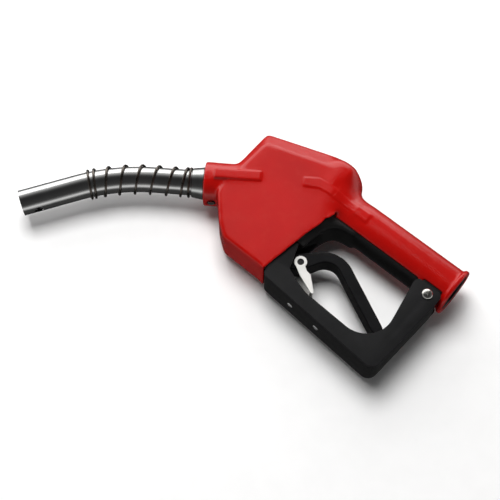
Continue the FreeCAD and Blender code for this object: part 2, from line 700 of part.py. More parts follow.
def make_trip_unit():
    stem = "Dims.plunger_radius"
    plunger = turned("plunger_turned", [
        ("0", "Dims.fulcrum_depth"), ("0", "29"), ("2.5", "29"), ("2.5", "21"), ("4.9", "21"), ("4.9", "28"),
        (stem, "28.9"), (stem, "Dims.fulcrum_depth"),
    ], TRIP)
    tongue = rod("plunger_eye", "6", "-3", "3", across(FULCRUM.x, FULCRUM.y))
    shaved = box("tongue_side", ("-185", "-110", "3"), ("-140", f"{FULCRUM.y} + 12", "9"))
    ball_holes = [rod(f"ball_hole{n}", "1.3", "0", "6", ball_place(n)) for n in range(3)]
    tools = ball_holes + [
        shaved, mirrored("tongue_side_far", shaved),
        rod("eye_hole", "Dims.pin_radius + Dims.running_gap", "-5", "5", across(FULCRUM.x, FULCRUM.y)),
        box("below_eye", ("-170", "-100", "-5"), ("-150", f"{FULCRUM.y} - 4.2", "5")),
    ]
    node(less("trip_plunger", joined("plunger_blank", [plunger, tongue]), tools), "trip_plunger")
    balls = []
    for number in range(3):
        ball = doc.addObject("Part::Sphere", f"ball{number}")
        bind(ball, Radius="1.22")
        ball.Placement = ball_place(number).multiply(Placement(Vector(0, 3.69, 0), Rotation()))
        balls.append(ball)
    node(joined("latch_balls", balls), "latch_balls")
    node(turned("latch_ring", [("5", "20"), ("9", "20"), ("9", "26"), ("5", "26")], TRIP), "latch_ring")
    node(turned("latch_pin", [("0", "13"), ("4.4", "13"), ("4.4", "14.9"), ("2.4", "15.3"), ("2.4", "26"),
                              ("0", "27")], TRIP), "latch_pin")
    node(turned("diaphragm_plate", [("4.4", "13"), ("5.9", "13"), ("5.9", "14.9"), ("4.4", "14.9")], TRIP),
         "diaphragm_plate")
    node(turned("diaphragm", [
        ("6.2", "14"), ("8", "14"), ("9", "13.2"), ("10", "13.2"), ("11", "14"), ("Dims.disc_radius", "14"),
        ("Dims.disc_radius", "14.8"), ("10.6", "14.8"), ("9.8", "14"), ("9.2", "14"), ("8.4", "14.8"),
        ("6.2", "14.8"),
    ], TRIP), "diaphragm")
    cap = turned("bonnet_blank", [
        ("0", "4"), ("8", "4"), ("9.6", "5.4"), ("9.6", "10.4"), ("Dims.disc_radius", "10.4"),
        ("Dims.disc_radius", "14"), ("11.4", "14"), ("11.4", "12"), ("8", "12"), ("8", "5.6"), ("0", "5.6"),
    ], TRIP)
    screws = []
    screw_ways = []
    for number in range(4):
        swing = Placement(Vector(0, 0, 0), Rotation(Vector(0, 1, 0), 45.0 + 90.0 * number))
        place = TRIP.multiply(swing).multiply(Placement(Vector(12.4, 0, 0), Rotation()))
        screws.append(turned(f"cap_screw{number}", [
            ("0", "8.8"), ("1.6", "8.8"), ("2.3", "9.4"), ("2.3", "10.4"), ("1.1", "10.4"), ("1.1", "13.9"),
            ("0", "13.9"),
        ], place))
        screw_ways.append(rod(f"cap_screw_way{number}", "1.1", "10", "15", place))
    node(less("diaphragm_cap", cap, screw_ways), "diaphragm_cap")
    node(joined("cap_screws", screws), "cap_screws")
    node(coil("diaphragm_spring", "5", "0.4", "6.2", "9.4", 2, TRIP), "diaphragm_spring")
    node(coil("plunger_spring", "5.6", "0.6", "36.8", "47.2", 4, TRIP), "plunger_spring")


def ball_place(number):
    """Place whose Y axis runs outwards through one of the plunger head's three balls."""
    swing = Placement(Vector(0, 24, 0), Rotation(Vector(0, 1, 0), 120.0 * number))
    return TRIP.multiply(swing).multiply(Placement(Vector(0, 0, 0), Rotation(Vector(0, 0, 1), -90.0)))


# ---------------------------------------------------------------- lever and hold-open latch

def make_lever():
    half = "2 * Dims.lever_half"
    arm = plate("lever_arm", [
        ("-160", "-75.2"), ("-137", "-73.3"), ("-99.7", "-34.8"), ("-24", "-71.8"), ("-29", "-80.7"),
        ("-100.9", "-46.2"), ("-114", "-72"), ("-124", "-79.4"), ("-160", "-86.4"),
    ], half, rounds=(
        ("28", [("-99.7", "-34.8")]),
        ("14", [("-100.9", "-46.2")]),
        ("4.8", [("-24", "-71.8"), ("-29", "-80.7"), ("-137", "-73.3")]),
        ("3", [("-114", "-72"), ("-124", "-79.4")]),
    ))
    boss = rod("lever_boss", "6.6", "-Dims.lever_half", "Dims.lever_half", across(FULCRUM.x, FULCRUM.y))
    pivot = across(dim("pivot_x"), dim("pivot_y"))
    seat = across(dim("valve_x"), dim("pad_y"))
    tools = [
        box("lever_fork", ("-170", "-90", "-3.3"), (f"{FULCRUM.x} + 8", "-60", "3.3")),
        rod("fulcrum_hole", "Dims.pin_radius", "-12", "12", across(FULCRUM.x, FULCRUM.y)),
        rod("pivot_hole", "Dims.pivot_radius", "-12", "12", pivot),
        rod("spring_pocket", "5.6", "-Dims.lever_half - 1", "-6.6", pivot),
        rod("pad_seat", "Dims.pad_radius", "-4", "4", seat),
    ]
    node(less("lever", joined("lever_blank", [arm, boss]), tools), "lever")
    node(rod("lever_roller", "Dims.pad_radius", "-4", "4", seat), "lever_roller")
    node(rod("fulcrum_pin", "Dims.pin_radius", "-8.9", "8.9", across(FULCRUM.x, FULCRUM.y)), "fulcrum_pin")
    node(rod("latch_pivot", "Dims.pivot_radius", "-10.4", "10.4", pivot), "latch_pivot")
    node(coil("latch_spring", "4.4", "0.45", "-8.5", "-7.1", 2, pivot), "latch_spring")


def make_latch():
    """Bright hold-open latch: two side arms on the lever's pivot, joined by a cross bar."""
    droop = math.radians(dim("latch_droop"))
    reach = dim("latch_reach")
    pivot = Vector(dim("pivot_x"), dim("pivot_y"), 0)

    def beside(along, off):
        x = pivot.x + along * math.cos(droop) + off * math.sin(droop)
        y = pivot.y - along * math.sin(droop) + off * math.cos(droop)
        return f"{x}", f"{y}"

    arms = []
    thick = "Dims.latch_outer - Dims.latch_inner"
    middle = (dim("latch_inner") + dim("latch_outer")) / 2
    for name, side in (("near", 1), ("far", -1)):
        blade = plate(f"latch_{name}", [
            beside(-1.5, -5.5), beside(12, -4.9), beside(reach - 1, -1.3), beside(reach, 0.3),
            beside(reach - 1.5, 1.4), beside(14.5, 4.4), beside(10, 2.4), beside(5.2, 2.6), beside(0, 5.2),
        ], thick, Placement(Vector(0, 0, side * middle), Rotation()))
        ring = rod(f"latch_ring_{name}", "Dims.latch_ring", f"{side * middle - 0.9}",
                   f"{side * middle + 0.9}", across(pivot.x, pivot.y))
        arms += [blade, ring]
    bar_x, bar_y = (float(number) for number in beside(29.0, 0.0))
    bar = rod("latch_bar", "1.5", "-Dims.latch_outer", "Dims.latch_outer", across(bar_x, bar_y))
    hole = rod("latch_hole", "Dims.pivot_radius + Dims.running_gap", "-15", "15", across(pivot.x, pivot.y))
    node(less("hold_latch", joined("latch_blank", arms + [bar]), [hole]), "hold_latch")


# ---------------------------------------------------------------- guard

def floor_line(x, rise=0.0):
    """Height of the guard's outer floor at x, raised square to its slope."""
    fall = math.radians(dim("guard_floor_fall"))
    drop = (x - dim("guard_floor_x")) * math.tan(fall)
    return dim("guard_floor_y") - drop + rise / math.cos(fall)


def make_guard():
    """Folded channel round the lever: two flanges joined by a floor and a rear web."""
    front, rear, skin = -137.5, -9.4, dim("guard_outer") - dim("guard_inner")
    corner_front = (f"{front}", f"{floor_line(front)}")
    corner_rear = (f"{rear}", f"{floor_line(rear)}")
    blank = plate("guard_blank", [
        ("-156", "-58.5"), ("-130.7", "-58.5"), ("-121.8", "-82.4"), ("-97.5", "-90.6"), ("-19.3", "-93.4"),
        ("-31.7", "-22"), ("-31.7", "-15.4"), ("-4.6", "-15.4"), ("-4.6", "-30"), corner_rear, corner_front,
        (f"{front}", "-94.9"), ("-156", "-94.9"),
    ], "2 * Dims.guard_outer", rounds=(
        ("6", [("-121.8", "-82.4"), corner_front]),
        ("30", [("-97.5", "-90.6")]),
        ("26", [("-19.3", "-93.4")]),
        ("5", [("-31.7", "-15.4"), ("-4.6", "-15.4")]),
        ("9", [corner_rear]),
    ))
    inside = plate("guard_inside", [
        ("-170", "-40"), ("-170", "-96"), (f"{front - 6}", "-96"), (f"{front - 2}", f"{floor_line(front, skin)}"),
        (f"{rear - skin}", f"{floor_line(rear, skin)}"), (f"{-4.6 - skin}", "-30"),
        (f"{-4.6 - skin}", "-24.5"), ("0", "-24.5"), ("0", "0"), ("-60", "0"),
    ], "2 * Dims.guard_inner", rounds=(
        ("4.4", [(f"{front - 2}", f"{floor_line(front, skin)}")]),
        ("7.4", [(f"{rear - skin}", f"{floor_line(rear, skin)}")]),
    ))
    screw_way = rod("guard_screw_way", "Dims.guard_screw_radius + 0.1", "-20", "20",
                    across(dim("guard_screw_x"), dim("guard_screw_y")))
    ways = [screw_way, FRONT_SCREWS]
    for name, x in (("front", dim("rivet_front_x")), ("rear", dim("rivet_rear_x"))):
        ways.append(rod(f"guard_rivet_way_{name}", "1.6", "-6", "6", rivet_place(x)))
    node(less("lever_guard", blank, [inside] + ways), "lever_guard")


def rivet_place(x):
    """Place on the guard's outer floor whose Y axis points out of it."""
    return turned_to(-90.0 - dim("guard_floor_fall"), x, floor_line(x))


def make_front_screws():
    """Four countersunk screws that hold the guard's front ears to the casting's cheeks."""
    screws = []
    for number, (x, y) in enumerate(((-149.0, -66.0), (-149.0, -88.0))):
        near = turned(f"front_screw{number}", [("0", "12.4"), ("2", "12.4"), ("2", "14.9"), ("3.6", "16.5"),
                                               ("0", "16.5")], across(x, y).multiply(HEAD_UP))
        screws += [near, mirrored(f"front_screw_far{number}", near)]
    return node(joined("guard_front_screws", screws), "guard_front_screws")


HEAD_UP = Placement(Vector(0, 0, 0), Rotation(Vector(0, 1, 0), 0.0))
FRONT_SCREWS = make_front_screws()


def make_guard_fixings():
    place = across(dim("guard_screw_x"), dim("guard_screw_y"))
    radius = "Dims.guard_screw_radius"
    node(turned("guard_rear_screw", [
        ("0", "-20.2"), (radius, "-20.2"), (radius, "16.5"), ("5", "16.5"), ("4.9", "17.4"), ("4.2", "18.5"),
        ("3", "19.2"), ("1.5", "19.6"), ("0", "19.7"),
    ], place), "guard_rear_screw")
    blank = hexagon("nut_blank", "4.6", "-20", "-16.5", place)
    node(less("guard_rear_nut", blank, [rod("nut_thread", radius, "-30", "0", place)]), "guard_rear_nut")
    heads = []
    for name, x in (("front", dim("rivet_front_x")), ("rear", dim("rivet_rear_x"))):
        heads.append(turned(f"rivet_{name}", [
            ("0", "-3.5"), ("2.4", "-3.5"), ("2.4", "-2.8"), ("1.6", "-2.8"), ("1.6", "0"), ("2.8", "0"),
            ("2.4", "0.7"), ("1.3", "1.1"), ("0", "1.2"),
        ], rivet_place(x)))
    node(joined("rack_rivets", heads), "rack_rivets")
    base_x = (-128.0, -66.0)
    low, high = 1.6, 2.8
    flange = plate("rack_flange", [
        (f"{base_x[0]}", f"{floor_line(base_x[0], low)}"), (f"{base_x[1]}", f"{floor_line(base_x[1], low)}"),
        (f"{base_x[1]}", f"{floor_line(base_x[1], high)}"), (f"{base_x[0]}", f"{floor_line(base_x[0], high)}"),
    ], "16")
    comb = plate("rack_comb", [
        ("-107", f"{floor_line(-107.0, 2.2)}"), ("-107", "-93.4"), ("-109", "-94.6"), ("-110.4", "-91"),
        ("-113.6", "-93"), ("-115", "-89.6"), ("-118.8", "-91.4"), ("-120.4", "-88.4"), ("-126", "-90"),
        ("-128", "-93"), ("-128", f"{floor_line(-128.0, 2.2)}"),
    ], "2 * Dims.rack_half")
    ways = [rod(f"rack_way_{name}", "1.6", "-6", "6", rivet_place(x))
            for name, x in (("front", dim("rivet_front_x")), ("rear", dim("rivet_rear_x")))]
    node(less("hold_rack", joined("rack_blank", [flange, comb]), ways), "hold_rack")


# ---------------------------------------------------------------- build, test, write

for maker in (make_cover, make_casting, make_spout, make_spout_coil, make_check_valve, make_main_valve,
              make_trip_unit, make_lever, make_latch, make_guard, make_guard_fixings):
    maker()
doc.recompute()

faults = [item.Name for item in doc.Objects if {"Invalid", "Error"} & set(item.State)]
for label, item in NODES.items():
    if item.Shape.isNull() or not item.Shape.isValid() or not item.Shape.Solids:
        faults.append(label)
if faults:
    raise RuntimeError("failed objects: " + ", ".join(faults))

os.makedirs("parts", exist_ok=True)
for label, item in NODES.items():
    item.Shape.exportStep(f"parts/{label}.step")
    print(f"{label:22s} solids {len(item.Shape.Solids)} volume {item.Shape.Volume:10.1f} mm3")
print("fulcrum", [round(number, 3) for number in FULCRUM])
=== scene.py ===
"""Looks of an automatic-shutoff fuel nozzle that lies on its side on a pale floor.

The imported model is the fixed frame, in metres: X runs along the handle and out of its inlet,
Y points to the nozzle's top and Z across it. The moulded cover, body casting, lever, guard, latch,
spring and fasteners are remade as softer or finer meshes; the other parts keep their shape and
get a finish.
"""

import json
import math

import bmesh
import bpy
import numpy as np
from mathutils import Matrix, Vector, noise


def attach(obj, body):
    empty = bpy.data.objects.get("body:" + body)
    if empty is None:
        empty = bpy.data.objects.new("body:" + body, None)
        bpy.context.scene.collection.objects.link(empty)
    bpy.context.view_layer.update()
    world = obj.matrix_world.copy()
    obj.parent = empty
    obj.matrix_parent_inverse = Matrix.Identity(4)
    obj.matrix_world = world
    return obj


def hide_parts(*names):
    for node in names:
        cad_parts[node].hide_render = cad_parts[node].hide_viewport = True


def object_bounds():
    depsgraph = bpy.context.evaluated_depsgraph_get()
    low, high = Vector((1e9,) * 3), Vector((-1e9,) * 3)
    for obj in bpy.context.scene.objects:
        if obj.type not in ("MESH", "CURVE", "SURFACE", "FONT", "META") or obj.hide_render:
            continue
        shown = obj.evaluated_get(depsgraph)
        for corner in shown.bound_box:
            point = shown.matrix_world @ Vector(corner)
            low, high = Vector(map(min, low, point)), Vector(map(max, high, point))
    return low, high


bl_info = {
    "name": "Fuel nozzle",
    "version": (1, 0, 0),
    "blender": (4, 5, 0),
    "location": "View3D > Sidebar > Nozzle",
    "description": "Builds the nozzle's cover, metal parts, small fasteners and studio",
    "category": "Object",
}

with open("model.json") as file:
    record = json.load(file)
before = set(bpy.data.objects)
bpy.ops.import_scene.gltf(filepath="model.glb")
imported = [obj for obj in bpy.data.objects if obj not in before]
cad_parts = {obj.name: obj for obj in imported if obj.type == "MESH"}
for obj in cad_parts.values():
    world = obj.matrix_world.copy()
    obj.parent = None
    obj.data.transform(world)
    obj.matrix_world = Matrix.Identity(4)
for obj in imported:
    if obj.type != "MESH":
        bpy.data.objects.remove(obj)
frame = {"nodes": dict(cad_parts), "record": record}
CAD_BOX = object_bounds()

MM = 0.001
BOX_MARGIN = 0.02 * MM
BODY = "nozzle"

# Spout: its root axis meets the handle's axis, then it bends once towards the lever's side.
SPOUT_MEETS = Vector((-0.1572, 0.0, 0.0))
SPOUT_ANGLE = math.radians(215.8)
SPOUT_DIRECTION = Vector((math.cos(SPOUT_ANGLE), math.sin(SPOUT_ANGLE), 0.0))
SPOUT_UNDERSIDE = Vector((-SPOUT_DIRECTION.y, SPOUT_DIRECTION.x, 0.0))
BEND_START = 0.1519
BEND_RADIUS = 0.180
BEND_ANGLE = math.radians(22.5)
SPOUT_REACH = 0.276

# Guard: half its width over the flanges, and the slope of its floor.
GUARD_SCREW = Vector((-0.0157, -0.0235, 0.0))
GUARD_HALF = 0.0165
RIVETS_AT = (-0.1034, -0.0731)
GUARD_FLOOR_START = Vector((-0.126, -0.1019, 0.0))
GUARD_FLOOR_FALL = math.radians(3.5)


# ---------------------------------------------------------------- settings

class CoverSettings(bpy.types.PropertyGroup):
    grid: bpy.props.FloatProperty(
        name="Grid", description="Cell size that the moulded cover is remeshed on",
        default=0.85 * MM, unit="LENGTH")
    edge_softness: bpy.props.IntProperty(
        name="Edge softness", description="Smoothing passes over the whole cover, lips included",
        default=7, min=0, max=60)
    form_softness: bpy.props.IntProperty(
        name="Form softness", description="More passes over the body's broad forms only",
        default=44, min=0, max=200)
    neck_softness: bpy.props.IntProperty(
        name="Neck softness", description="More passes where the body runs into the handle",
        default=260, min=0, max=400)
    rib_lift: bpy.props.FloatProperty(
        name="Rib lift", description="Height given back to the rear rib after the smoothing",
        default=0.40 * MM, unit="LENGTH")
    ripple: bpy.props.FloatProperty(
        name="Ripple", description="Height of the moulding's slow unevenness",
        default=0.16 * MM, unit="LENGTH")
    colour: bpy.props.FloatVectorProperty(
        name="Vinyl colour", description="Base colour of the moulded vinyl",
        subtype="COLOR", size=3, default=(0.39, 0.0035, 0.0022))


class SpringSettings(bpy.types.PropertyGroup):
    wire: bpy.props.FloatProperty(
        name="Wire", description="Radius of the spring's wire", default=1.15 * MM, unit="LENGTH")
    coil: bpy.props.FloatProperty(
        name="Coil", description="Radius of the coil at the wire's middle", default=13.2 * MM,
        unit="LENGTH")
    start: bpy.props.FloatProperty(
        name="Start", description="Where the first turn starts, along the spout's axis",
        default=116.7 * MM, unit="LENGTH")
    closed_pitch: bpy.props.FloatProperty(
        name="Closed pitch", description="Length of the closed turn at each end",
        default=2.5 * MM, unit="LENGTH")
    lead_in: bpy.props.FloatProperty(
        name="Lead-in", description="Length of the turn that opens beside the ferrule",
        default=11.3 * MM, unit="LENGTH")
    open_pitch: bpy.props.FloatProperty(
        name="Open pitch", description="Length of each turn in the middle",
        default=15.2 * MM, unit="LENGTH")
    open_turns: bpy.props.IntProperty(
        name="Open turns", description="Turns in the middle", default=4, min=1, max=20)
    lead_out: bpy.props.FloatProperty(
        name="Lead-out", description="Length of the last wide turn", default=13.5 * MM,
        unit="LENGTH")
    closing: bpy.props.FloatProperty(
        name="Closing", description="Length of the turn that closes at the tip's side",
        default=5.8 * MM, unit="LENGTH")


class MetalSettings(bpy.types.PropertyGroup):
    fold: bpy.props.FloatProperty(
        name="Fold radius", description="Outside radius of the guard's folds",
        default=2.4 * MM, unit="LENGTH")
    lever_softness: bpy.props.IntProperty(
        name="Lever softness", description="Smoothing passes over the lever's edges",
        default=9, min=0, max=60)
    rivet_head: bpy.props.FloatProperty(
        name="Rivet head", description="Radius of the rivet heads on the guard",
        default=2.8 * MM, unit="LENGTH")
    screw_head: bpy.props.FloatProperty(
        name="Screw head", description="Radius of the guard screw's domed head",
        default=5.0 * MM, unit="LENGTH")


class StageSettings(bpy.types.PropertyGroup):
    distance: bpy.props.FloatProperty(
        name="Distance", description="From the camera to what it looks at",
        default=0.85, unit="LENGTH")
    azimuth: bpy.props.FloatProperty(
        name="Azimuth", description="Camera's turn about the vertical",
        default=math.radians(40.5), subtype="ANGLE")
    elevation: bpy.props.FloatProperty(
        name="Elevation", description="Camera's height above the floor's plane",
        default=math.radians(65.0), subtype="ANGLE")
    floor_colour: bpy.props.FloatVectorProperty(
        name="Floor colour", description="Plain floor", subtype="COLOR", size=3,
        default=(0.94, 0.94, 0.94))


# ---------------------------------------------------------------- mesh helpers

def new_piece(name, mesh):
    """Object at the origin that holds a mesh in the row's own frame."""
    piece = bpy.data.objects.new(name, mesh)
    bpy.context.scene.collection.objects.link(piece)
    return piece


def merged_copy(node, name):
    """Mesh of a frame node with its loose triangles joined at their corners."""
    mesh = frame["nodes"][node].data.copy()
    mesh.name = name
    mesh.materials.clear()
    work = bmesh.new()
    work.from_mesh(mesh)
    bmesh.ops.remove_doubles(work, verts=work.verts, dist=2e-6)
    work.to_mesh(mesh)
    work.free()
    for attribute in ("custom_normal", "sharp_face", "sharp_edge"):
        found = mesh.attributes.get(attribute)
        if found:
            mesh.attributes.remove(found)
    return mesh


def apply_modifiers(piece):
    """Replace a piece's mesh by its evaluated one and drop the modifiers."""
    bpy.context.view_layer.update()
    evaluated = piece.evaluated_get(bpy.context.evaluated_depsgraph_get())
    mesh = bpy.data.meshes.new_from_object(evaluated)
    piece.modifiers.clear()
    piece.data = mesh
    return mesh


def shade_smooth(mesh, smooth=True):
    mesh.polygons.foreach_set("use_smooth", [smooth] * len(mesh.polygons))
    mesh.update()


def coordinates(mesh):
    points = np.empty(len(mesh.vertices) * 3, np.float32)
    mesh.vertices.foreach_get("co", points)
    return points.reshape(-1, 3).astype(np.float64)


def set_coordinates(mesh, points):
    mesh.vertices.foreach_set("co", points.astype(np.float32).ravel())
    mesh.update()


def remeshed(piece, cell):
    """Even voxel mesh of the same solid."""
    remesh = piece.modifiers.new("Remesh", "REMESH")
    remesh.mode = "VOXEL"
    remesh.voxel_size = cell
    return apply_modifiers(piece)


def smoothed(mesh, passes, weight=1.0):
    """Move every corner towards the middle of its neighbours, by its own weight each pass."""
    pairs = np.empty(len(mesh.edges) * 2, np.int64)
    mesh.edges.foreach_get("vertices", pairs)
    first, second = pairs[0::2], pairs[1::2]
    count = len(mesh.vertices)
    degree = np.bincount(first, minlength=count) + np.bincount(second, minlength=count)
    degree = np.maximum(degree, 1)
    points = coordinates(mesh)
    share = 0.5 * np.broadcast_to(weight, count)
    for _ in range(passes):
        for axis in range(3):
            column = points[:, axis]
            total = (np.bincount(first, column[second], count)
                     + np.bincount(second, column[first], count))
            points[:, axis] = column + share * (total / degree - column)
    set_coordinates(mesh, points)


def thinned(piece, triangles):
    """Fewer triangles, where a piece has more than it should."""
    have = sum(len(face.vertices) - 2 for face in piece.data.polygons)
    if have > triangles:
        decimate = piece.modifiers.new("Decimate", "DECIMATE")
        decimate.ratio = triangles / have
        apply_modifiers(piece)
    return piece.data


def ramp(values, low, high):
    """0 below low, 1 above high and a smooth step between."""
    share = np.clip((values - low) / (high - low), 0.0, 1.0)
    return share * share * (3.0 - 2.0 * share)


def band(values, rise, fall):
    """1 between a smooth step up and a smooth step down, each from its two ends."""
    return ramp(values, *rise) * (1.0 - ramp(values, *fall))


def turned_mesh(name, profile, segments, place):
    """Closed mesh of revolution about a place's Z axis, from (radius, height) points."""
    work = bmesh.new()
    ring = [work.verts.new((radius, 0.0, height)) for radius, height in profile]
    edges = [work.edges.new(pair) for pair in zip(ring, ring[1:])]
    bmesh.ops.spin(work, geom=ring + edges, cent=(0, 0, 0), axis=(0, 0, 1),
                   angle=2 * math.pi, steps=segments)
    bmesh.ops.remove_doubles(work, verts=work.verts, dist=1e-7)
    bmesh.ops.recalc_face_normals(work, faces=work.faces)
    bmesh.ops.transform(work, matrix=place, verts=work.verts)
    mesh = bpy.data.meshes.new(name)
    work.to_mesh(mesh)
    work.free()
    return mesh


# ---------------------------------------------------------------- finishes

def start_material(name):
    material = bpy.data.materials.new(name)
    material.use_nodes = True
    nodes, links = material.node_tree.nodes, material.node_tree.links
    nodes.clear()
    shader = nodes.new("ShaderNodeBsdfPrincipled")
    output = nodes.new("ShaderNodeOutputMaterial")
    place = nodes.new("ShaderNodeTexCoord")
    links.new(shader.outputs["BSDF"], output.inputs["Surface"])
    return material, nodes, links, shader, place


def feed(links, source, socket):
    """Set an input to a plain number, or link an output to it."""
    if isinstance(source, (int, float)):
        socket.default_value = source
    else:
        links.new(source, socket)


def math_node(tree, operation, *inputs):
    """Arithmetic on sockets or plain numbers, in any kind of tree."""
    node = tree.nodes.new("ShaderNodeMath")
    node.operation = operation
    for socket, source in zip(node.inputs, inputs):
        feed(tree.links, source, socket)
    return node.outputs[0]


def noise_field(nodes, links, place, scale, detail=4.0, stretch=(1.0, 1.0, 1.0), turn=0.0):
    """Noise on the piece's own coordinates, stretched along an axis turned about Z."""
    mapping = nodes.new("ShaderNodeMapping")
    mapping.inputs["Rotation"].default_value = (0.0, 0.0, turn)
    mapping.inputs["Scale"].default_value = stretch
    texture = nodes.new("ShaderNodeTexNoise")
    texture.inputs["Scale"].default_value = scale
    texture.inputs["Detail"].default_value = detail
    links.new(place.outputs["Object"], mapping.inputs["Vector"])
    links.new(mapping.outputs["Vector"], texture.inputs["Vector"])
    return texture.outputs["Fac"]


def between(nodes, links, field, low, high, start=0.3, end=0.7):
    """A number that follows a field from low to high."""
    spread = nodes.new("ShaderNodeMapRange")
    spread.inputs["From Min"].default_value = start
    spread.inputs["From Max"].default_value = end
    spread.inputs["To Min"].default_value = low
    spread.inputs["To Max"].default_value = high
    links.new(field, spread.inputs["Value"])
    return spread.outputs["Result"]


def colours_between(nodes, links, field, dark, light, start=0.3, end=0.7):
    """A colour that follows a field."""
    blend = nodes.new("ShaderNodeValToRGB")
    blend.color_ramp.elements[0].position = start
    blend.color_ramp.elements[1].position = end
    blend.color_ramp.elements[0].color = (*dark, 1.0)
    blend.color_ramp.elements[1].color = (*light, 1.0)
    links.new(field, blend.inputs["Fac"])
    return blend.outputs["Color"]


def bumps(nodes, links, shader, fields):
    """Chain of bumps, from (field, height in metres, strength)."""
    normal = None
    for field, height, strength in fields:
        bump = nodes.new("ShaderNodeBump")
        bump.inputs["Distance"].default_value = height
        feed(links, strength, bump.inputs["Strength"])
        links.new(field, bump.inputs["Height"])
        if normal:
            links.new(normal, bump.inputs["Normal"])
        normal = bump.outputs["Normal"]
    links.new(normal, shader.inputs["Normal"])


def scaled(colour, factor):
    return tuple(min(channel * factor, 1.0) for channel in colour)


def finish_material(name, colour, roughness, metallic=0.0, spread=0.12, rough_spread=0.08,
                    patch=60.0, grain=900.0, grain_height=0.03 * MM, grain_strength=0.3,
                    stretch=(1.0, 1.0, 1.0), turn=0.0, specular=0.5):
    """Paint, plating, plastic or rubber: patchy colour and gloss over a fine grain."""
    material, nodes, links, shader, place = start_material(name)
    broad = noise_field(nodes, links, place, patch, 5.0)
    fine = noise_field(nodes, links, place, grain, 3.0, stretch, turn)
    links.new(colours_between(nodes, links, broad, scaled(colour, 1 - spread),
                              scaled(colour, 1 + spread)), shader.inputs["Base Color"])
    links.new(between(nodes, links, broad, roughness - rough_spread, roughness + rough_spread),
              shader.inputs["Roughness"])
    shader.inputs["Metallic"].default_value = metallic
    shader.inputs["Specular IOR Level"].default_value = specular
    bumps(nodes, links, shader, [(fine, grain_height, grain_strength)])
    return material


def vinyl_material(colour):
    """Moulded vinyl: mottled red with a lumpy gloss, fine pebbling and paler pink blotches of
    painted sheen on the lumps.
    """
    material, nodes, links, shader, place = start_material("cover_vinyl_red")
    broad = noise_field(nodes, links, place, 26.0, 6.0)
    blotch = noise_field(nodes, links, place, 130.0, 5.0)
    pebble = noise_field(nodes, links, place, 700.0, 2.0)
    base = colours_between(nodes, links, broad, scaled(colour, 0.90), scaled(colour, 1.06))
    # Painted sheen: paler pink blotches where the lumps stand highest, standing in for crinkled
    # reflections of the window.
    painted_sheen = nodes.new("ShaderNodeMix")
    painted_sheen.data_type = "RGBA"
    painted_sheen.inputs["B"].default_value = (colour[0] * 1.08, colour[1] * 3.2, colour[2] * 3.0, 1.0)
    links.new(between(nodes, links, blotch, low=0.0, high=0.35, start=0.55, end=0.75),
              painted_sheen.inputs["Factor"])
    links.new(base, painted_sheen.inputs["A"])
    links.new(painted_sheen.outputs["Result"], shader.inputs["Base Color"])
    links.new(between(nodes, links, blotch, 0.15, 0.25), shader.inputs["Roughness"])
    # The moulding's lumps show on its bevels and rounds and fade out on its flat sides.
    surface = nodes.new("ShaderNodeNewGeometry")
    split = nodes.new("ShaderNodeSeparateXYZ")
    links.new(surface.outputs["Normal"], split.inputs["Vector"])
    upright = math_node(material.node_tree, "ABSOLUTE", split.outputs["Z"])
    slope = between(nodes, links, upright, low=0.55, high=0.04, start=0.80, end=0.985)
    shader.inputs["Specular IOR Level"].default_value = 0.42
    bumps(nodes, links, shader, [(blotch, 0.8 * MM, slope), (pebble, 0.03 * MM, 0.1)])
    return material


def tube_material():
    """Polished plated tube: faint draw lines along the spout and soft haze."""
    material, nodes, links, shader, place = start_material("spout_plated_steel")
    haze = noise_field(nodes, links, place, 45.0, 5.0)
    lines = noise_field(nodes, links, place, 620.0, 3.0, (0.03, 1.0, 1.0), -SPOUT_ANGLE)
    links.new(colours_between(nodes, links, haze, (0.50, 0.50, 0.495), (0.60, 0.60, 0.59)),
              shader.inputs["Base Color"])
    links.new(between(nodes, links, haze, 0.13, 0.22), shader.inputs["Roughness"])
    shader.inputs["Metallic"].default_value = 1.0
    bumps(nodes, links, shader, [(lines, 0.02 * MM, 0.12)])
    return material


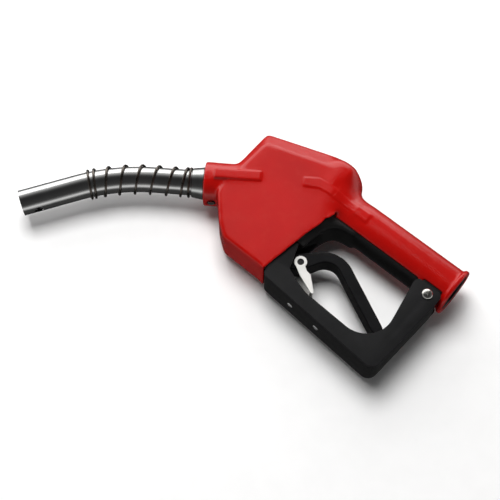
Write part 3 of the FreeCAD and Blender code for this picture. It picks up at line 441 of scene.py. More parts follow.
def make_finishes():
    """One finish for each of the record's material slots."""
    cover = bpy.context.scene.nozzle_cover
    return {
        "cover_vinyl": vinyl_material(tuple(cover.colour)),
        "casting_black": finish_material(
            "casting_black_paint", (0.007, 0.007, 0.007), 0.42, grain=420.0,
            grain_height=0.12 * MM, specular=0.30),
        "guard_black": finish_material(
            "guard_black_coat", (0.0105, 0.0105, 0.011), 0.42, grain=1100.0,
            grain_height=0.05 * MM, specular=0.28),
        "lever_black": finish_material(
            "lever_black_paint", (0.0045, 0.0045, 0.005), 0.38, grain=600.0,
            grain_height=0.06 * MM, specular=0.28),
        "spout_steel": tube_material(),
        "ferrule_chrome": finish_material(
            "ferrule_polish", (0.48, 0.49, 0.48), 0.17, metallic=1.0, spread=0.08,
            rough_spread=0.04, grain=300.0, grain_height=0.01 * MM, grain_strength=0.1),
        "spring_wire": finish_material(
            "spring_oiled_wire", (0.13, 0.115, 0.10), 0.30, metallic=1.0, spread=0.35,
            rough_spread=0.1, patch=160.0, grain=1500.0),
        "latch_steel": finish_material(
            "latch_bright_zinc", (0.82, 0.81, 0.78), 0.34, metallic=0.30, spread=0.05,
            rough_spread=0.05, grain_height=0.01 * MM, grain_strength=0.1),
        "pivot_steel": finish_material(
            "pivot_black_steel", (0.10, 0.10, 0.10), 0.32, metallic=1.0, patch=200.0),
        "steel_bright": finish_material(
            "ground_steel", (0.6, 0.6, 0.61), 0.26, metallic=1.0, grain=700.0,
            grain_height=0.02 * MM),
        "screw_zinc": finish_material(
            "screw_bright_zinc", (0.7, 0.69, 0.65), 0.24, metallic=1.0, spread=0.14,
            patch=300.0, grain=800.0, grain_height=0.02 * MM),
        "rivet_aluminium": finish_material(
            "rivet_plain_aluminium", (0.78, 0.78, 0.78), 0.3, metallic=1.0, patch=400.0,
            grain_height=0.02 * MM),
        "cap_aluminium": finish_material(
            "cap_machined_aluminium", (0.6, 0.6, 0.62), 0.34, metallic=1.0, grain=500.0,
            grain_height=0.02 * MM),
        "valve_brass": finish_material(
            "valve_machined_brass", (0.62, 0.44, 0.17), 0.28, metallic=1.0, grain=500.0,
            grain_height=0.02 * MM),
        "valve_plastic": finish_material("valve_moulded_acetal", (0.05, 0.05, 0.055), 0.42),
        "seal_rubber": finish_material(
            "seal_black_rubber", (0.018, 0.018, 0.018), 0.62, grain=1600.0),
        "inner_spring": finish_material(
            "inner_spring_wire", (0.45, 0.45, 0.44), 0.3, metallic=1.0, patch=200.0),
    }


FINISHES = {}
SLOT_OF = {row["node"]: row["material_slot"] for row in frame["record"]["subparts"]}


def give_finish(piece, slot):
    """Put one of the record's finishes on a piece."""
    piece.data.materials.clear()
    piece.data.materials.append(FINISHES[slot])


def hand_over(piece, body, slot, *nodes):
    """Ride a finished piece on its body, in place of frame nodes."""
    give_finish(piece, slot)
    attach(piece, body)
    if nodes:
        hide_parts(*nodes)


# ---------------------------------------------------------------- scuff cover

# Pairs are the ends of a smooth step, in metres along the axis that the name says.
HANDLE_START = -0.118
HANDLE_STEP_X = (HANDLE_START + 0.002, HANDLE_START + 0.018)
COLLAR_STEP_ALONG = (0.088, 0.098)
NECK_RISE_X, NECK_FALL_X = (-0.140, -0.130), (-0.112, -0.098)
SIDE_STEP_Z = (0.012, 0.018)
FLAT_SIDE_Z = 0.0175
COVER_TRIANGLES = 185000
# Hollows beside the rear rib: (centre, radius, depth).
HOLLOWS = (((-0.1265, 0.0135), 0.0080, 0.0045), ((-0.1280, -0.0120), 0.0065, 0.0028))
# The handle's slot, which the casting shows through.
SLOT_HALF_ANGLE = math.radians(42.0)
SLOT_START_X, SLOT_RADIUS = -0.133, 0.026
# The front rib along the spout's axis, and the rear edge and rear rib in X and Y.
FRONT_RIB_HALF, FRONT_RIB_START, FRONT_RIB_END = 0.0058, 0.050, 0.0955
REAR_EDGE = ((-0.124, -0.0174), (-0.1313, -0.049), (-0.139, -0.0975))
REAR_RIB = ((-0.1685, -0.0055), (-0.1565, 0.0032), (-0.143, 0.0046), (-0.098, 0.0048),
            (-0.098, -0.0048), (-0.141, -0.0052), (-0.150, -0.0062), (-0.163, -0.014))


def distance_to_run(points, corners, closed=False):
    """Distance in the XY plane from each point to a run of straight edges."""
    nearest = np.full(len(points), np.inf)
    ends = list(zip(corners, corners[1:])) + ([(corners[-1], corners[0])] if closed else [])
    for start, end in ends:
        start, end = np.array(start), np.array(end)
        along = end - start
        share = np.clip(((points[:, :2] - start) @ along) / (along @ along), 0.0, 1.0)
        foot = start + share[:, None] * along
        nearest = np.minimum(nearest, np.linalg.norm(points[:, :2] - foot, axis=1))
    return nearest


def inside_outline(points, corners):
    """Which points lie inside a closed outline in the XY plane."""
    inside = np.zeros(len(points), bool)
    x, y = points[:, 0], points[:, 1]
    for (x0, y0), (x1, y1) in zip(corners, corners[1:] + corners[:1]):
        crosses = (y0 > y) != (y1 > y)
        reach = x0 + (y - y0) * (x1 - x0) / (y1 - y0 if y1 != y0 else 1e-12)
        inside ^= crosses & (x < reach)
    return inside


def pressed(points):
    """Sink the hollows beside the rear rib, in the cover and in the casting under it alike."""
    side = ramp(np.abs(points[:, 2]), *SIDE_STEP_Z) * np.sign(points[:, 2])
    for (x, y), radius, depth in HOLLOWS:
        away = np.hypot(points[:, 0] - x, points[:, 1] - y)
        points[:, 2] -= side * depth * np.exp(-(away / radius) ** 2)
    return points


def form_weight(points):
    """Where the cover's broad forms are soft: 0 on its lips, ribs and round handle."""
    root = points - np.array(SPOUT_MEETS)
    along = root @ np.array(SPOUT_DIRECTION)
    beside = root @ np.array(SPOUT_UNDERSIDE)
    weight = 1.0 - ramp(points[:, 0], *HANDLE_STEP_X)
    weight *= 1.0 - ramp(along, *COLLAR_STEP_ALONG)
    rear = distance_to_run(points, REAR_EDGE)
    weight *= np.where(points[:, 1] < -0.012, ramp(rear, 0.0012, 0.005), 1.0)
    spread = np.arctan2(np.abs(points[:, 2]), -points[:, 1])
    near_slot = points[:, 0] > SLOT_START_X
    near_slot &= np.hypot(points[:, 1], points[:, 2]) < SLOT_RADIUS
    lip = ramp(spread, SLOT_HALF_ANGLE + 0.02, SLOT_HALF_ANGLE + 0.35)
    weight *= np.where(near_slot, lip, 1.0)
    high = np.abs(points[:, 2]) > FLAT_SIDE_Z
    on_front_rib = high & (np.abs(beside) < FRONT_RIB_HALF)
    on_front_rib &= (along > FRONT_RIB_START) & (along < FRONT_RIB_END)
    on_rear_rib = high & (inside_outline(points, REAR_RIB)
                          | (distance_to_run(points, REAR_RIB, True) < 0.0010))
    on_rear_rib &= (points[:, 0] < -0.1345) | (points[:, 0] > -0.1120)
    weight[on_front_rib | on_rear_rib] = 0.0
    return weight


class NOZZLE_OT_cover(bpy.types.Operator):
    """Remake the scuff cover as one soft moulding with rounded lips and flowing forms"""
    bl_idname = "nozzle.cover"
    bl_label = "Scuff cover"

    def execute(self, context):
        settings = context.scene.nozzle_cover
        cover = new_piece("cover_moulding", merged_copy("scuff_cover", "cover_moulding"))
        mesh = remeshed(cover, settings.grid)
        set_coordinates(mesh, pressed(coordinates(mesh)))
        smoothed(mesh, settings.edge_softness)
        smoothed(mesh, settings.form_softness, form_weight(coordinates(mesh)))
        points = coordinates(mesh)
        neck = band(points[:, 0], NECK_RISE_X, NECK_FALL_X)
        smoothed(mesh, settings.neck_softness, neck * form_weight(points))
        mesh = thinned(cover, COVER_TRIANGLES)
        points = coordinates(mesh)
        lift = np.array([noise.noise(Vector(point) * 75.0) for point in points])
        lift *= form_weight(points) * settings.ripple
        depth = np.where(inside_outline(points, REAR_RIB),
                         distance_to_run(points, REAR_RIB, True), 0.0)
        on_body = (np.abs(points[:, 2]) > 0.016) * (1.0 - ramp(points[:, 0], -0.120, -0.108))
        lift += ramp(depth, 0.0, 0.0016) * on_body * settings.rib_lift
        normals = np.empty(len(points) * 3, np.float32)
        mesh.vertices.foreach_get("normal", normals)
        points = points + normals.reshape(-1, 3) * lift[:, None]
        low, high = np.array(CAD_BOX[0]), np.array(CAD_BOX[1])
        set_coordinates(mesh, np.clip(points, low + BOX_MARGIN, high - BOX_MARGIN))
        shade_smooth(mesh)
        hand_over(cover, BODY, "cover_vinyl", "scuff_cover")
        return {"FINISHED"}


# ---------------------------------------------------------------- casting

CASTING_GRID = 0.8 * MM
CASTING_TRIANGLES = 180000
UNDER_COVER_RISE_X = (-0.150, -0.140)
UNDER_COVER_STEP_Z = (0.0135, 0.0160)
HANDLE_UNDERSIDE_Y = (-0.0165, -0.0135)
BAY_RISE_X, BAY_FALL_X, BAY_RISE_Y = (-0.136, -0.128), (-0.100, -0.088), (-0.056, -0.046)


class NOZZLE_OT_casting(bpy.types.Operator):
    """Remake the body casting with the flowing fillets that show behind the cover"""
    bl_idname = "nozzle.casting"
    bl_label = "Body casting"

    def execute(self, context):
        casting = new_piece("body_casting", merged_copy("nozzle_body", "body_casting"))
        mesh = remeshed(casting, CASTING_GRID)
        set_coordinates(mesh, pressed(coordinates(mesh)))
        smoothed(mesh, 2)
        points = coordinates(mesh)
        under_cover = (band(points[:, 0], UNDER_COVER_RISE_X, NECK_FALL_X)
                       * ramp(points[:, 1], *HANDLE_UNDERSIDE_Y)
                       * ramp(np.abs(points[:, 2]), *UNDER_COVER_STEP_Z))
        smoothed(mesh, 240, under_cover)
        bay = (band(points[:, 0], BAY_RISE_X, BAY_FALL_X)
               * band(points[:, 1], BAY_RISE_Y, HANDLE_UNDERSIDE_Y))
        smoothed(mesh, 70, bay)
        mesh = thinned(casting, CASTING_TRIANGLES)
        shade_smooth(mesh)
        mesh.set_sharp_from_angle(angle=math.radians(50))
        hand_over(casting, BODY, "casting_black", "nozzle_body")
        return {"FINISHED"}


# ---------------------------------------------------------------- lever, guard and latch

LEVER_GRID = 0.5 * MM
# The lever isn't smoothed round its pivot and its fulcrum pin: (x, y, radius).
LEVER_PINS = ((-0.1198, -0.0687, 0.0034), (-0.159812, -0.079779, 0.0029))
PIN_FADE = 0.0012
LATCH_GRID = 0.2 * MM
LATCH_TRIANGLES = 90000
EASED_EDGE = 0.12


class NOZZLE_OT_lever(bpy.types.Operator):
    """Remake the squeeze lever with the rounded edges of a casting"""
    bl_idname = "nozzle.lever"
    bl_label = "Squeeze lever"

    def execute(self, context):
        settings = context.scene.nozzle_metal
        lever = new_piece("lever_casting", merged_copy("lever", "lever_casting"))
        mesh = remeshed(lever, LEVER_GRID)
        points = coordinates(mesh)
        weight = np.ones(len(points))
        for x, y, radius in LEVER_PINS:
            away = np.hypot(points[:, 0] - x, points[:, 1] - y)
            weight *= ramp(away, radius, radius + PIN_FADE)
        smoothed(mesh, settings.lever_softness, weight)
        shade_smooth(mesh)
        hand_over(lever, "squeeze_lever", "lever_black", "lever")
        return {"FINISHED"}


def guard_floor(x):
    """Height of the guard's outer floor."""
    return GUARD_FLOOR_START.y - (x - GUARD_FLOOR_START.x) * math.tan(GUARD_FLOOR_FALL)


def fold_edges(mesh, half):
    """Weight the edges of the guard's outer faces: fully where it is folded, else a little."""
    work = bmesh.new()
    work.from_mesh(mesh)
    bmesh.ops.dissolve_limit(work, angle_limit=math.radians(1.0), verts=work.verts,
                             edges=work.edges)
    layer = work.edges.layers.float.get("bevel_weight_edge")
    if layer is None:
        layer = work.edges.layers.float.new("bevel_weight_edge")
    for edge in work.edges:
        if len(edge.link_faces) != 2:
            continue
        outer = all(abs(abs(vert.co.z) - half) < 2e-5 for vert in edge.verts)
        sideways = [abs(face.normal.z) for face in edge.link_faces]
        turned = max(sideways) > 0.98 and min(sideways) < 0.05
        if outer and turned:
            wall = min(edge.link_faces, key=lambda face: abs(face.normal.z))
            middle = (edge.verts[0].co + edge.verts[1].co) / 2
            on_floor = middle.y < guard_floor(middle.x) + 0.0095 and wall.normal.y < 0.3
            on_web = middle.x > -0.0175 and wall.normal.x > 0.5 and middle.y < -0.028
            edge[layer] = 1.0 if on_floor or on_web else EASED_EDGE
    work.to_mesh(mesh)
    work.free()


class NOZZLE_OT_guard(bpy.types.Operator):
    """Remake the lever guard with rounded folds and eased sheet edges"""
    bl_idname = "nozzle.guard"
    bl_label = "Lever guard"

    def execute(self, context):
        settings = context.scene.nozzle_metal
        mesh = merged_copy("lever_guard", "guard_sheet")
        fold_edges(mesh, GUARD_HALF)
        guard = new_piece("guard_sheet", mesh)
        bevel = guard.modifiers.new("Fold", "BEVEL")
        bevel.limit_method = "WEIGHT"
        bevel.width = settings.fold
        bevel.segments = 6
        bevel.use_clamp_overlap = True
        mesh = apply_modifiers(guard)
        shade_smooth(mesh)
        mesh.set_sharp_from_angle(angle=math.radians(35))
        hand_over(guard, BODY, "guard_black", "lever_guard")
        return {"FINISHED"}


class NOZZLE_OT_latch(bpy.types.Operator):
    """Remake the hold-open latch as a stamping with eased edges"""
    bl_idname = "nozzle.latch"
    bl_label = "Hold-open latch"

    def execute(self, context):
        latch = new_piece("latch_stamping", merged_copy("hold_latch", "latch_stamping"))
        mesh = remeshed(latch, LATCH_GRID)
        smoothed(mesh, 3)
        mesh = thinned(latch, LATCH_TRIANGLES)
        shade_smooth(mesh)
        hand_over(latch, "hold_open_latch", "latch_steel", "hold_latch")
        return {"FINISHED"}


# ---------------------------------------------------------------- Geometry Nodes

def start_tree(name, numbers):
    """Node group with a mesh input, a material input and named number inputs."""
    tree = bpy.data.node_groups.new(name, "GeometryNodeTree")
    tree.interface.new_socket("Geometry", in_out="INPUT", socket_type="NodeSocketGeometry")
    for label, default in numbers.items():
        kind = "NodeSocketInt" if isinstance(default, int) else "NodeSocketFloat"
        socket = tree.interface.new_socket(label, in_out="INPUT", socket_type=kind)
        socket.default_value = default
    tree.interface.new_socket("Material", in_out="INPUT", socket_type="NodeSocketMaterial")
    tree.interface.new_socket("Geometry", in_out="OUTPUT", socket_type="NodeSocketGeometry")
    return tree, tree.nodes.new("NodeGroupInput"), tree.nodes.new("NodeGroupOutput")


def finish_tree(tree, group_in, group_out, geometry):
    """Realize Instances and Set Material at the end of a tree."""
    realize = tree.nodes.new("GeometryNodeRealizeInstances")
    material = tree.nodes.new("GeometryNodeSetMaterial")
    tree.links.new(geometry, realize.inputs["Geometry"])
    tree.links.new(realize.outputs["Geometry"], material.inputs["Geometry"])
    tree.links.new(group_in.outputs["Material"], material.inputs["Material"])
    tree.links.new(material.outputs["Geometry"], group_out.inputs["Geometry"])


def run_tree(piece, tree, settings, name):
    """Set a tree's inputs by their identifiers and keep its result as a plain mesh."""
    modifier = piece.modifiers.new(tree.name, "NODES")
    modifier.node_group = tree
    for item in tree.interface.items_tree:
        if item.item_type == "SOCKET" and item.in_out == "INPUT" and item.name in settings:
            modifier[item.identifier] = settings[item.name]
    bpy.context.view_layer.update()
    evaluated = piece.evaluated_get(bpy.context.evaluated_depsgraph_get())
    mesh = bpy.data.meshes.new_from_object(evaluated)
    mesh.name = name
    piece.modifiers.remove(modifier)
    bpy.data.objects.remove(piece)
    return new_piece(name, mesh)


def spout_line(name, steps=160):
    """Edges along the spout's axis, from where it meets the handle's axis to its tip."""
    bend_end = BEND_START + BEND_RADIUS * BEND_ANGLE
    points = []
    for step in range(steps + 1):
        length = SPOUT_REACH * step / steps
        turn = min(max((length - BEND_START) / BEND_RADIUS, 0.0), BEND_ANGLE)
        past = max(length - bend_end, 0.0)
        along = min(length, BEND_START) + BEND_RADIUS * math.sin(turn) + past * math.cos(turn)
        aside = BEND_RADIUS * (1.0 - math.cos(turn)) + past * math.sin(turn)
        points.append(SPOUT_MEETS + SPOUT_DIRECTION * along + SPOUT_UNDERSIDE * aside)
    mesh = bpy.data.meshes.new(name)
    mesh.from_pydata(points, [(n, n + 1) for n in range(steps)], [])
    return new_piece(name, mesh)


def spring_tree(numbers):
    """Coil that follows a line, in stretches that each have their own pitch."""
    tree, group_in, group_out = start_tree("spring_on_spout", numbers)
    nodes, links = tree.nodes, tree.links
    inputs = group_in.outputs
    opened = math_node(tree, "MULTIPLY", inputs["Open pitch"], inputs["Open turns"])
    stretches = [(inputs["Closed pitch"], 1.0), (inputs["Lead-in"], 1.0),
                 (opened, inputs["Open turns"]), (inputs["Lead-out"], 1.0),
                 (inputs["Closing"], 1.0), (inputs["Closed pitch"], 1.0)]
    last = inputs["Start"]
    for size, _ in stretches:
        last = math_node(tree, "ADD", last, size)
    to_curve = nodes.new("GeometryNodeMeshToCurve")
    links.new(inputs["Geometry"], to_curve.inputs["Mesh"])
    trim = nodes.new("GeometryNodeTrimCurve")
    trim.mode = "LENGTH"
    links.new(to_curve.outputs["Curve"], trim.inputs["Curve"])
    links.new(inputs["Start"], trim.inputs[4])
    links.new(last, trim.inputs[5])
    resample = nodes.new("GeometryNodeResampleCurve")
    links.new(trim.outputs["Curve"], resample.inputs["Curve"])
    links.new(inputs["Steps"], resample.inputs["Count"])
    # Turns wound so far, from the length run since the start.
    place = nodes.new("GeometryNodeSplineParameter")
    turns, low = 0.0, 0.0
    for size, count in stretches:
        high = math_node(tree, "ADD", low, size)
        stretch = nodes.new("ShaderNodeMapRange")
        for source, target in ((place.outputs["Length"], "Value"), (low, "From Min"),
                               (high, "From Max"), (count, "To Max")):
            feed(links, source, stretch.inputs[target])
        stretch.inputs["To Min"].default_value = 0.0
        turns = math_node(tree, "ADD", turns, stretch.outputs["Result"])
        low = high
    angle = math_node(tree, "MULTIPLY", turns, -2 * math.pi)
    tangent = nodes.new("GeometryNodeInputTangent")
    across = nodes.new("ShaderNodeVectorMath")
    across.operation = "CROSS_PRODUCT"
    across.inputs[1].default_value = (0.0, 0.0, 1.0)
    links.new(tangent.outputs["Tangent"], across.inputs[0])
    spin = nodes.new("ShaderNodeVectorRotate")
    spin.rotation_type = "AXIS_ANGLE"
    links.new(across.outputs["Vector"], spin.inputs["Vector"])
    links.new(tangent.outputs["Tangent"], spin.inputs["Axis"])
    links.new(angle, spin.inputs["Angle"])
    outward = nodes.new("ShaderNodeVectorMath")
    outward.operation = "SCALE"
    links.new(spin.outputs["Vector"], outward.inputs[0])
    links.new(inputs["Coil"], outward.inputs["Scale"])
    move = nodes.new("GeometryNodeSetPosition")
    links.new(resample.outputs["Curve"], move.inputs["Geometry"])
    links.new(outward.outputs["Vector"], move.inputs["Offset"])
    ring = nodes.new("GeometryNodeCurvePrimitiveCircle")
    ring.inputs["Resolution"].default_value = 14
    links.new(inputs["Wire"], ring.inputs["Radius"])
    wire = nodes.new("GeometryNodeCurveToMesh")
    links.new(move.outputs["Geometry"], wire.inputs["Curve"])
    links.new(ring.outputs["Curve"], wire.inputs["Profile Curve"])
    wire.inputs["Fill Caps"].default_value = True
    smooth = nodes.new("GeometryNodeSetShadeSmooth")
    links.new(wire.outputs["Mesh"], smooth.inputs["Geometry"])
    finish_tree(tree, group_in, group_out, smooth.outputs["Geometry"])
    return tree


class NOZZLE_OT_spring(bpy.types.Operator):
    """Wind the guard spring round the spout's bend"""
    bl_idname = "nozzle.spring"
    bl_label = "Spout spring"

    def execute(self, context):
        settings = context.scene.nozzle_spring
        numbers = {
            "Wire": settings.wire, "Coil": settings.coil, "Start": settings.start,
            "Closed pitch": settings.closed_pitch, "Lead-in": settings.lead_in,
            "Open pitch": settings.open_pitch, "Open turns": settings.open_turns,
            "Lead-out": settings.lead_out, "Closing": settings.closing, "Steps": 900,
        }
        spring = run_tree(spout_line("spout_axis"), spring_tree(numbers),
                          {**numbers, "Material": FINISHES["spring_wire"]}, "spring_coil")
        hand_over(spring, BODY, "spring_wire", "spout_spring")
        return {"FINISHED"}


def rivet_points(name):
    """One corner for each rivet, on the guard's outer floor."""
    mesh = bpy.data.meshes.new(name)
    mesh.from_pydata([(x, guard_floor(x), 0.0) for x in RIVETS_AT], [], [])
    return new_piece(name, mesh)


def rivet_tree(numbers):
    """Domed rivet heads on the guard's floor, with their shanks, one on each point."""
    tree, group_in, group_out = start_tree("rivets_on_guard", numbers)
    nodes, links = tree.nodes, tree.links
    inputs = group_in.outputs
    dome = nodes.new("GeometryNodeMeshUVSphere")
    dome.inputs["Segments"].default_value = 40
    dome.inputs["Rings"].default_value = 20
    links.new(inputs["Head"], dome.inputs["Radius"])
    flatten = nodes.new("GeometryNodeTransform")
    flatten.inputs["Scale"].default_value = (1.0, 1.0, 0.38)
    links.new(dome.outputs["Mesh"], flatten.inputs["Geometry"])
    shank = nodes.new("GeometryNodeMeshCylinder")
    shank.inputs["Vertices"].default_value = 32
    links.new(inputs["Shank"], shank.inputs["Radius"])
    links.new(inputs["Grip"], shank.inputs["Depth"])
    sink = nodes.new("GeometryNodeTransform")
    lower = nodes.new("ShaderNodeCombineXYZ")
    links.new(math_node(tree, "MULTIPLY", inputs["Grip"], -0.5), lower.inputs["Z"])
    links.new(lower.outputs["Vector"], sink.inputs["Translation"])
    links.new(shank.outputs["Mesh"], sink.inputs["Geometry"])
    join = nodes.new("GeometryNodeJoinGeometry")
    links.new(flatten.outputs["Geometry"], join.inputs["Geometry"])
    links.new(sink.outputs["Geometry"], join.inputs["Geometry"])
    smooth = nodes.new("GeometryNodeSetShadeSmooth")
    links.new(join.outputs["Geometry"], smooth.inputs["Geometry"])
    place = nodes.new("GeometryNodeInstanceOnPoints")
    turn = nodes.new("ShaderNodeCombineXYZ")
    turn.inputs["X"].default_value = math.pi / 2
    links.new(inputs["Tilt"], turn.inputs["Z"])
    links.new(inputs["Geometry"], place.inputs["Points"])
    links.new(smooth.outputs["Geometry"], place.inputs["Instance"])
    links.new(turn.outputs["Vector"], place.inputs["Rotation"])
    finish_tree(tree, group_in, group_out, place.outputs["Instances"])
    return tree


RIVET_SHANK, RIVET_GRIP = 1.6 * MM, 3.5 * MM
SCREW_SHANK, SCREW_END, SCREW_POINT = 0.0025, -0.0202, -0.0198
SCREW_EASE, SCREW_SKIRT, SCREW_DOME = 0.0003, 0.0006, 0.0026
DOME_STEPS = 12
CROSS_SIZE, CROSS_HEIGHT = (0.0056, 0.0011, 0.0030), 0.0030


class NOZZLE_OT_fasteners(bpy.types.Operator):
    """Set the guard's rivets and its domed cross-recess screw"""
    bl_idname = "nozzle.fasteners"
    bl_label = "Rivets and guard screw"

    def execute(self, context):
        settings = context.scene.nozzle_metal
        numbers = {"Head": settings.rivet_head, "Shank": RIVET_SHANK, "Grip": RIVET_GRIP,
                   "Tilt": -GUARD_FLOOR_FALL}
        rivets = run_tree(rivet_points("rivet_places"), rivet_tree(numbers),
                          {**numbers, "Material": FINISHES["rivet_aluminium"]}, "guard_rivets")
        hand_over(rivets, BODY, "rivet_aluminium", "rack_rivets")
        head = settings.screw_head
        top = GUARD_HALF
        profile = [(0.0, SCREW_END), (SCREW_SHANK - SCREW_EASE, SCREW_END),
                   (SCREW_SHANK, SCREW_POINT), (SCREW_SHANK, top), (head - SCREW_EASE, top),
                   (head, top + SCREW_EASE), (head, top + SCREW_SKIRT)]
        for step in range(1, DOME_STEPS):
            angle = math.pi / 2 * step / DOME_STEPS
            profile.append((head * math.cos(angle),
                            top + SCREW_SKIRT + SCREW_DOME * math.sin(angle)))
        profile.append((0.0, top + SCREW_SKIRT + SCREW_DOME))
        place = Matrix.Translation(GUARD_SCREW)
        screw = new_piece("guard_screw_head",
                          turned_mesh("guard_screw_head", profile, 64, place))
        self.cut_cross(screw, top)
        shade_smooth(screw.data)
        screw.data.set_sharp_from_angle(angle=math.radians(40))
        hand_over(screw, BODY, "screw_zinc", "guard_rear_screw")
        return {"FINISHED"}

    def cut_cross(self, screw, top):
        """Sink a tapered cross into the head."""
        work = bmesh.new()
        for turn in (math.radians(20), math.radians(110)):
            made = bmesh.ops.create_cube(work, size=1.0)["verts"]
            bmesh.ops.scale(work, vec=CROSS_SIZE, verts=made)
            for vert in made:
                if vert.co.z < 0:
                    vert.co.x *= 0.45
                    vert.co.y *= 0.7
            bmesh.ops.rotate(work, cent=(0, 0, 0), matrix=Matrix.Rotation(turn, 3, "Z"),
                             verts=made)
            bmesh.ops.translate(work, vec=GUARD_SCREW + Vector((0, 0, top + CROSS_HEIGHT)),
                                verts=made)
        mesh = bpy.data.meshes.new("cross_cutter")
        work.to_mesh(mesh)
        work.free()
        cutter = new_piece("cross_cutter", mesh)
        cut = screw.modifiers.new("Cross", "BOOLEAN")
        cut.object = cutter
        cut.operation = "DIFFERENCE"
        cut.solver = "EXACT"
        cut.use_self = True
        apply_modifiers(screw)
        bpy.data.objects.remove(cutter)


# ---------------------------------------------------------------- the parts that keep their shape

class NOZZLE_OT_finishes(bpy.types.Operator):
    """Mix every finish, and put them on the parts that keep the frame's own shape"""
    bl_idname = "nozzle.finishes"
    bl_label = "Finishes"

    def execute(self, context):
        FINISHES.update(make_finishes())
        for node, piece in frame["nodes"].items():
            piece.data.materials.clear()
            piece.data.materials.append(FINISHES[SLOT_OF[node]])
        return {"FINISHED"}


# ---------------------------------------------------------------- stage

TARGET = Vector((-0.164794, -0.085191, 0.0))
SENSOR_WIDTH, LENS, CLIP_END = 36.0, 67.7, 50.0
FLOOR_REACH, FLOOR_GAP = 6.0, 0.0001
# Sky, from below to above: (sine of the angle above the horizon, grey level).
NADIR, ZENITH = (0.05, 0.05, 0.05), (0.035, 0.035, 0.036)
SKY_STOPS = ((-0.40, 0.07), (-0.22, 0.30), (-0.10, 0.9), (0.07, 1.0), (0.16, 0.55), (0.30, 0.18),
             (0.50, 0.06))
GLOW_TIGHTNESS, GLOW_LEVEL, GLOW_HEIGHT = 12.0, 0.85, math.radians(40.0)


def soft_light(name, place, aim, size, power, colour):
    """Rectangular area light that faces a point."""
    data = bpy.data.lights.new(name, "AREA")
    data.shape = "RECTANGLE"
    data.size, data.size_y = size
    data.energy = power
    data.color = colour
    light = bpy.data.objects.new(name, data)
    light.location = place
    light.rotation_euler = (Vector(aim) - Vector(place)).to_track_quat("-Z", "Y").to_euler()
    bpy.context.scene.collection.objects.link(light)
    return light


def studio_sky(glow_towards):
    """Dark overhead and below, bright round the horizon, with a glow above the window wall."""
    world = bpy.data.worlds.new("studio_sky")
    world.use_nodes = True
    nodes, links = world.node_tree.nodes, world.node_tree.links
    nodes.clear()
    place = nodes.new("ShaderNodeTexCoord")
    split = nodes.new("ShaderNodeSeparateXYZ")
    height = nodes.new("ShaderNodeMapRange")
    blend = nodes.new("ShaderNodeValToRGB")
    height.inputs["From Min"].default_value = -1.0
    links.new(place.outputs["Generated"], split.inputs["Vector"])
    links.new(split.outputs["Z"], height.inputs["Value"])
    links.new(height.outputs["Result"], blend.inputs["Fac"])
    stops = blend.color_ramp.elements
    stops[0].color = (*NADIR, 1.0)
    for rise, level in SKY_STOPS:
        stops.new(0.5 + 0.5 * rise).color = (level, level, level, 1.0)
    stops[-1].color = (*ZENITH, 1.0)

    towards = nodes.new("ShaderNodeVectorMath")
    towards.operation = "DOT_PRODUCT"
    towards.inputs[1].default_value = glow_towards
    links.new(place.outputs["Generated"], towards.inputs[0])
    glow = towards.outputs["Value"]
    for operation, number in (("MAXIMUM", 0.0), ("POWER", GLOW_TIGHTNESS),
                              ("MULTIPLY", GLOW_LEVEL)):
        glow = math_node(world.node_tree, operation, glow, number)
    both = nodes.new("ShaderNodeVectorMath")
    both.operation = "ADD"
    links.new(blend.outputs["Color"], both.inputs[0])
    links.new(glow, both.inputs[1])
    sky = nodes.new("ShaderNodeBackground")
    output = nodes.new("ShaderNodeOutputWorld")
    links.new(both.outputs["Vector"], sky.inputs["Color"])
    links.new(sky.outputs["Background"], output.inputs["Surface"])
    bpy.context.scene.world = world


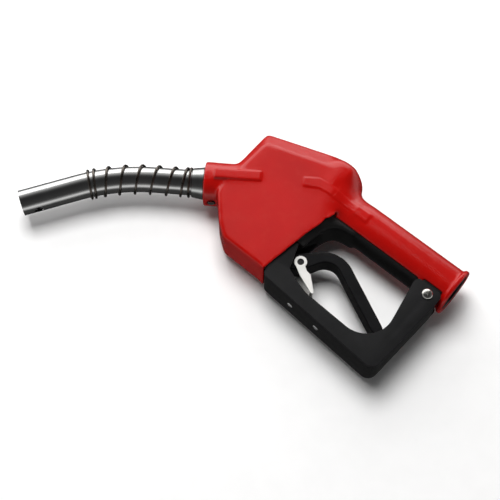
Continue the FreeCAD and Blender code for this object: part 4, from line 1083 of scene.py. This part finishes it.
class NOZZLE_OT_stage(bpy.types.Operator):
    """Lay the floor, hang the lights and place the camera"""
    bl_idname = "nozzle.stage"
    bl_label = "Stage"

    def execute(self, context):
        settings = context.scene.nozzle_stage
        right = Vector((math.cos(settings.azimuth), math.sin(settings.azimuth), 0.0))
        away = Vector((-right.y, right.x, 0.0))
        up = Vector((0.0, 0.0, 1.0))

        mesh = bpy.data.meshes.new("floor")
        level = CAD_BOX[0][2] - FLOOR_GAP
        corners = ((-1, -1), (1, -1), (1, 1), (-1, 1))
        mesh.from_pydata([(x * FLOOR_REACH, y * FLOOR_REACH, level) for x, y in corners], [],
                         [(0, 1, 2, 3)])
        floor = new_piece("floor", mesh)
        floor.data.materials.append(finish_material(
            "floor_paper", tuple(settings.floor_colour), 0.8, spread=0.01,
            grain_height=0.01 * MM))

        # The metal mirrors the sky and the window wall, not the floor or the key light.
        floor.visible_glossy = False
        key = soft_light("key_softbox", TARGET + up * 1.6 + away * 0.62 - right * 0.15,
                         aim=TARGET, size=(1.0, 1.0), power=32.0, colour=(1.0, 0.995, 0.99))
        key.visible_glossy = False
        window = soft_light("window_wall", TARGET + away * 1.3 + up * 0.60 - right * 0.35,
                            aim=TARGET + up * 0.35, size=(3.2, 1.05), power=18.0,
                            colour=(1.0, 0.99, 0.985))
        window.data.diffuse_factor = 0.25
        studio_sky((away - right * 0.2).normalized() * math.cos(GLOW_HEIGHT)
                   + up * math.sin(GLOW_HEIGHT))

        data = bpy.data.cameras.new("camera")
        data.sensor_width = SENSOR_WIDTH
        data.lens = LENS
        data.clip_end = CLIP_END
        camera = bpy.data.objects.new("camera", data)
        bpy.context.scene.collection.objects.link(camera)
        forward = away * math.cos(settings.elevation) - up * math.sin(settings.elevation)
        camera.location = TARGET - forward * settings.distance
        camera.rotation_euler = forward.to_track_quat("-Z", "Y").to_euler()
        context.scene.camera = camera
        context.scene.view_settings.view_transform = "Standard"
        return {"FINISHED"}


# ---------------------------------------------------------------- panel and registration

STEPS = (NOZZLE_OT_finishes, NOZZLE_OT_cover, NOZZLE_OT_casting, NOZZLE_OT_lever,
         NOZZLE_OT_guard, NOZZLE_OT_latch, NOZZLE_OT_spring, NOZZLE_OT_fasteners,
         NOZZLE_OT_stage)
SETTINGS = {"nozzle_cover": CoverSettings, "nozzle_spring": SpringSettings,
            "nozzle_metal": MetalSettings, "nozzle_stage": StageSettings}


class NOZZLE_PT_panel(bpy.types.Panel):
    """Steps of the nozzle and their settings"""
    bl_idname = "NOZZLE_PT_panel"
    bl_label = "Fuel nozzle"
    bl_space_type = "VIEW_3D"
    bl_region_type = "UI"
    bl_category = "Nozzle"

    def draw(self, context):
        for step in STEPS:
            self.layout.operator(step.bl_idname)
        for name in SETTINGS:
            group = getattr(context.scene, name)
            for key in group.__annotations__:
                self.layout.prop(group, key)


def register():
    for item in (*SETTINGS.values(), *STEPS, NOZZLE_PT_panel):
        bpy.utils.register_class(item)
    for name, kind in SETTINGS.items():
        setattr(bpy.types.Scene, name, bpy.props.PointerProperty(type=kind))


def unregister():
    for name in SETTINGS:
        delattr(bpy.types.Scene, name)
    for item in reversed((*SETTINGS.values(), *STEPS, NOZZLE_PT_panel)):
        bpy.utils.unregister_class(item)


def main():
    register()
    for step in STEPS:
        group, action = step.bl_idname.split(".")
        getattr(getattr(bpy.ops, group), action)()


if __name__ == "__main__":
    main()
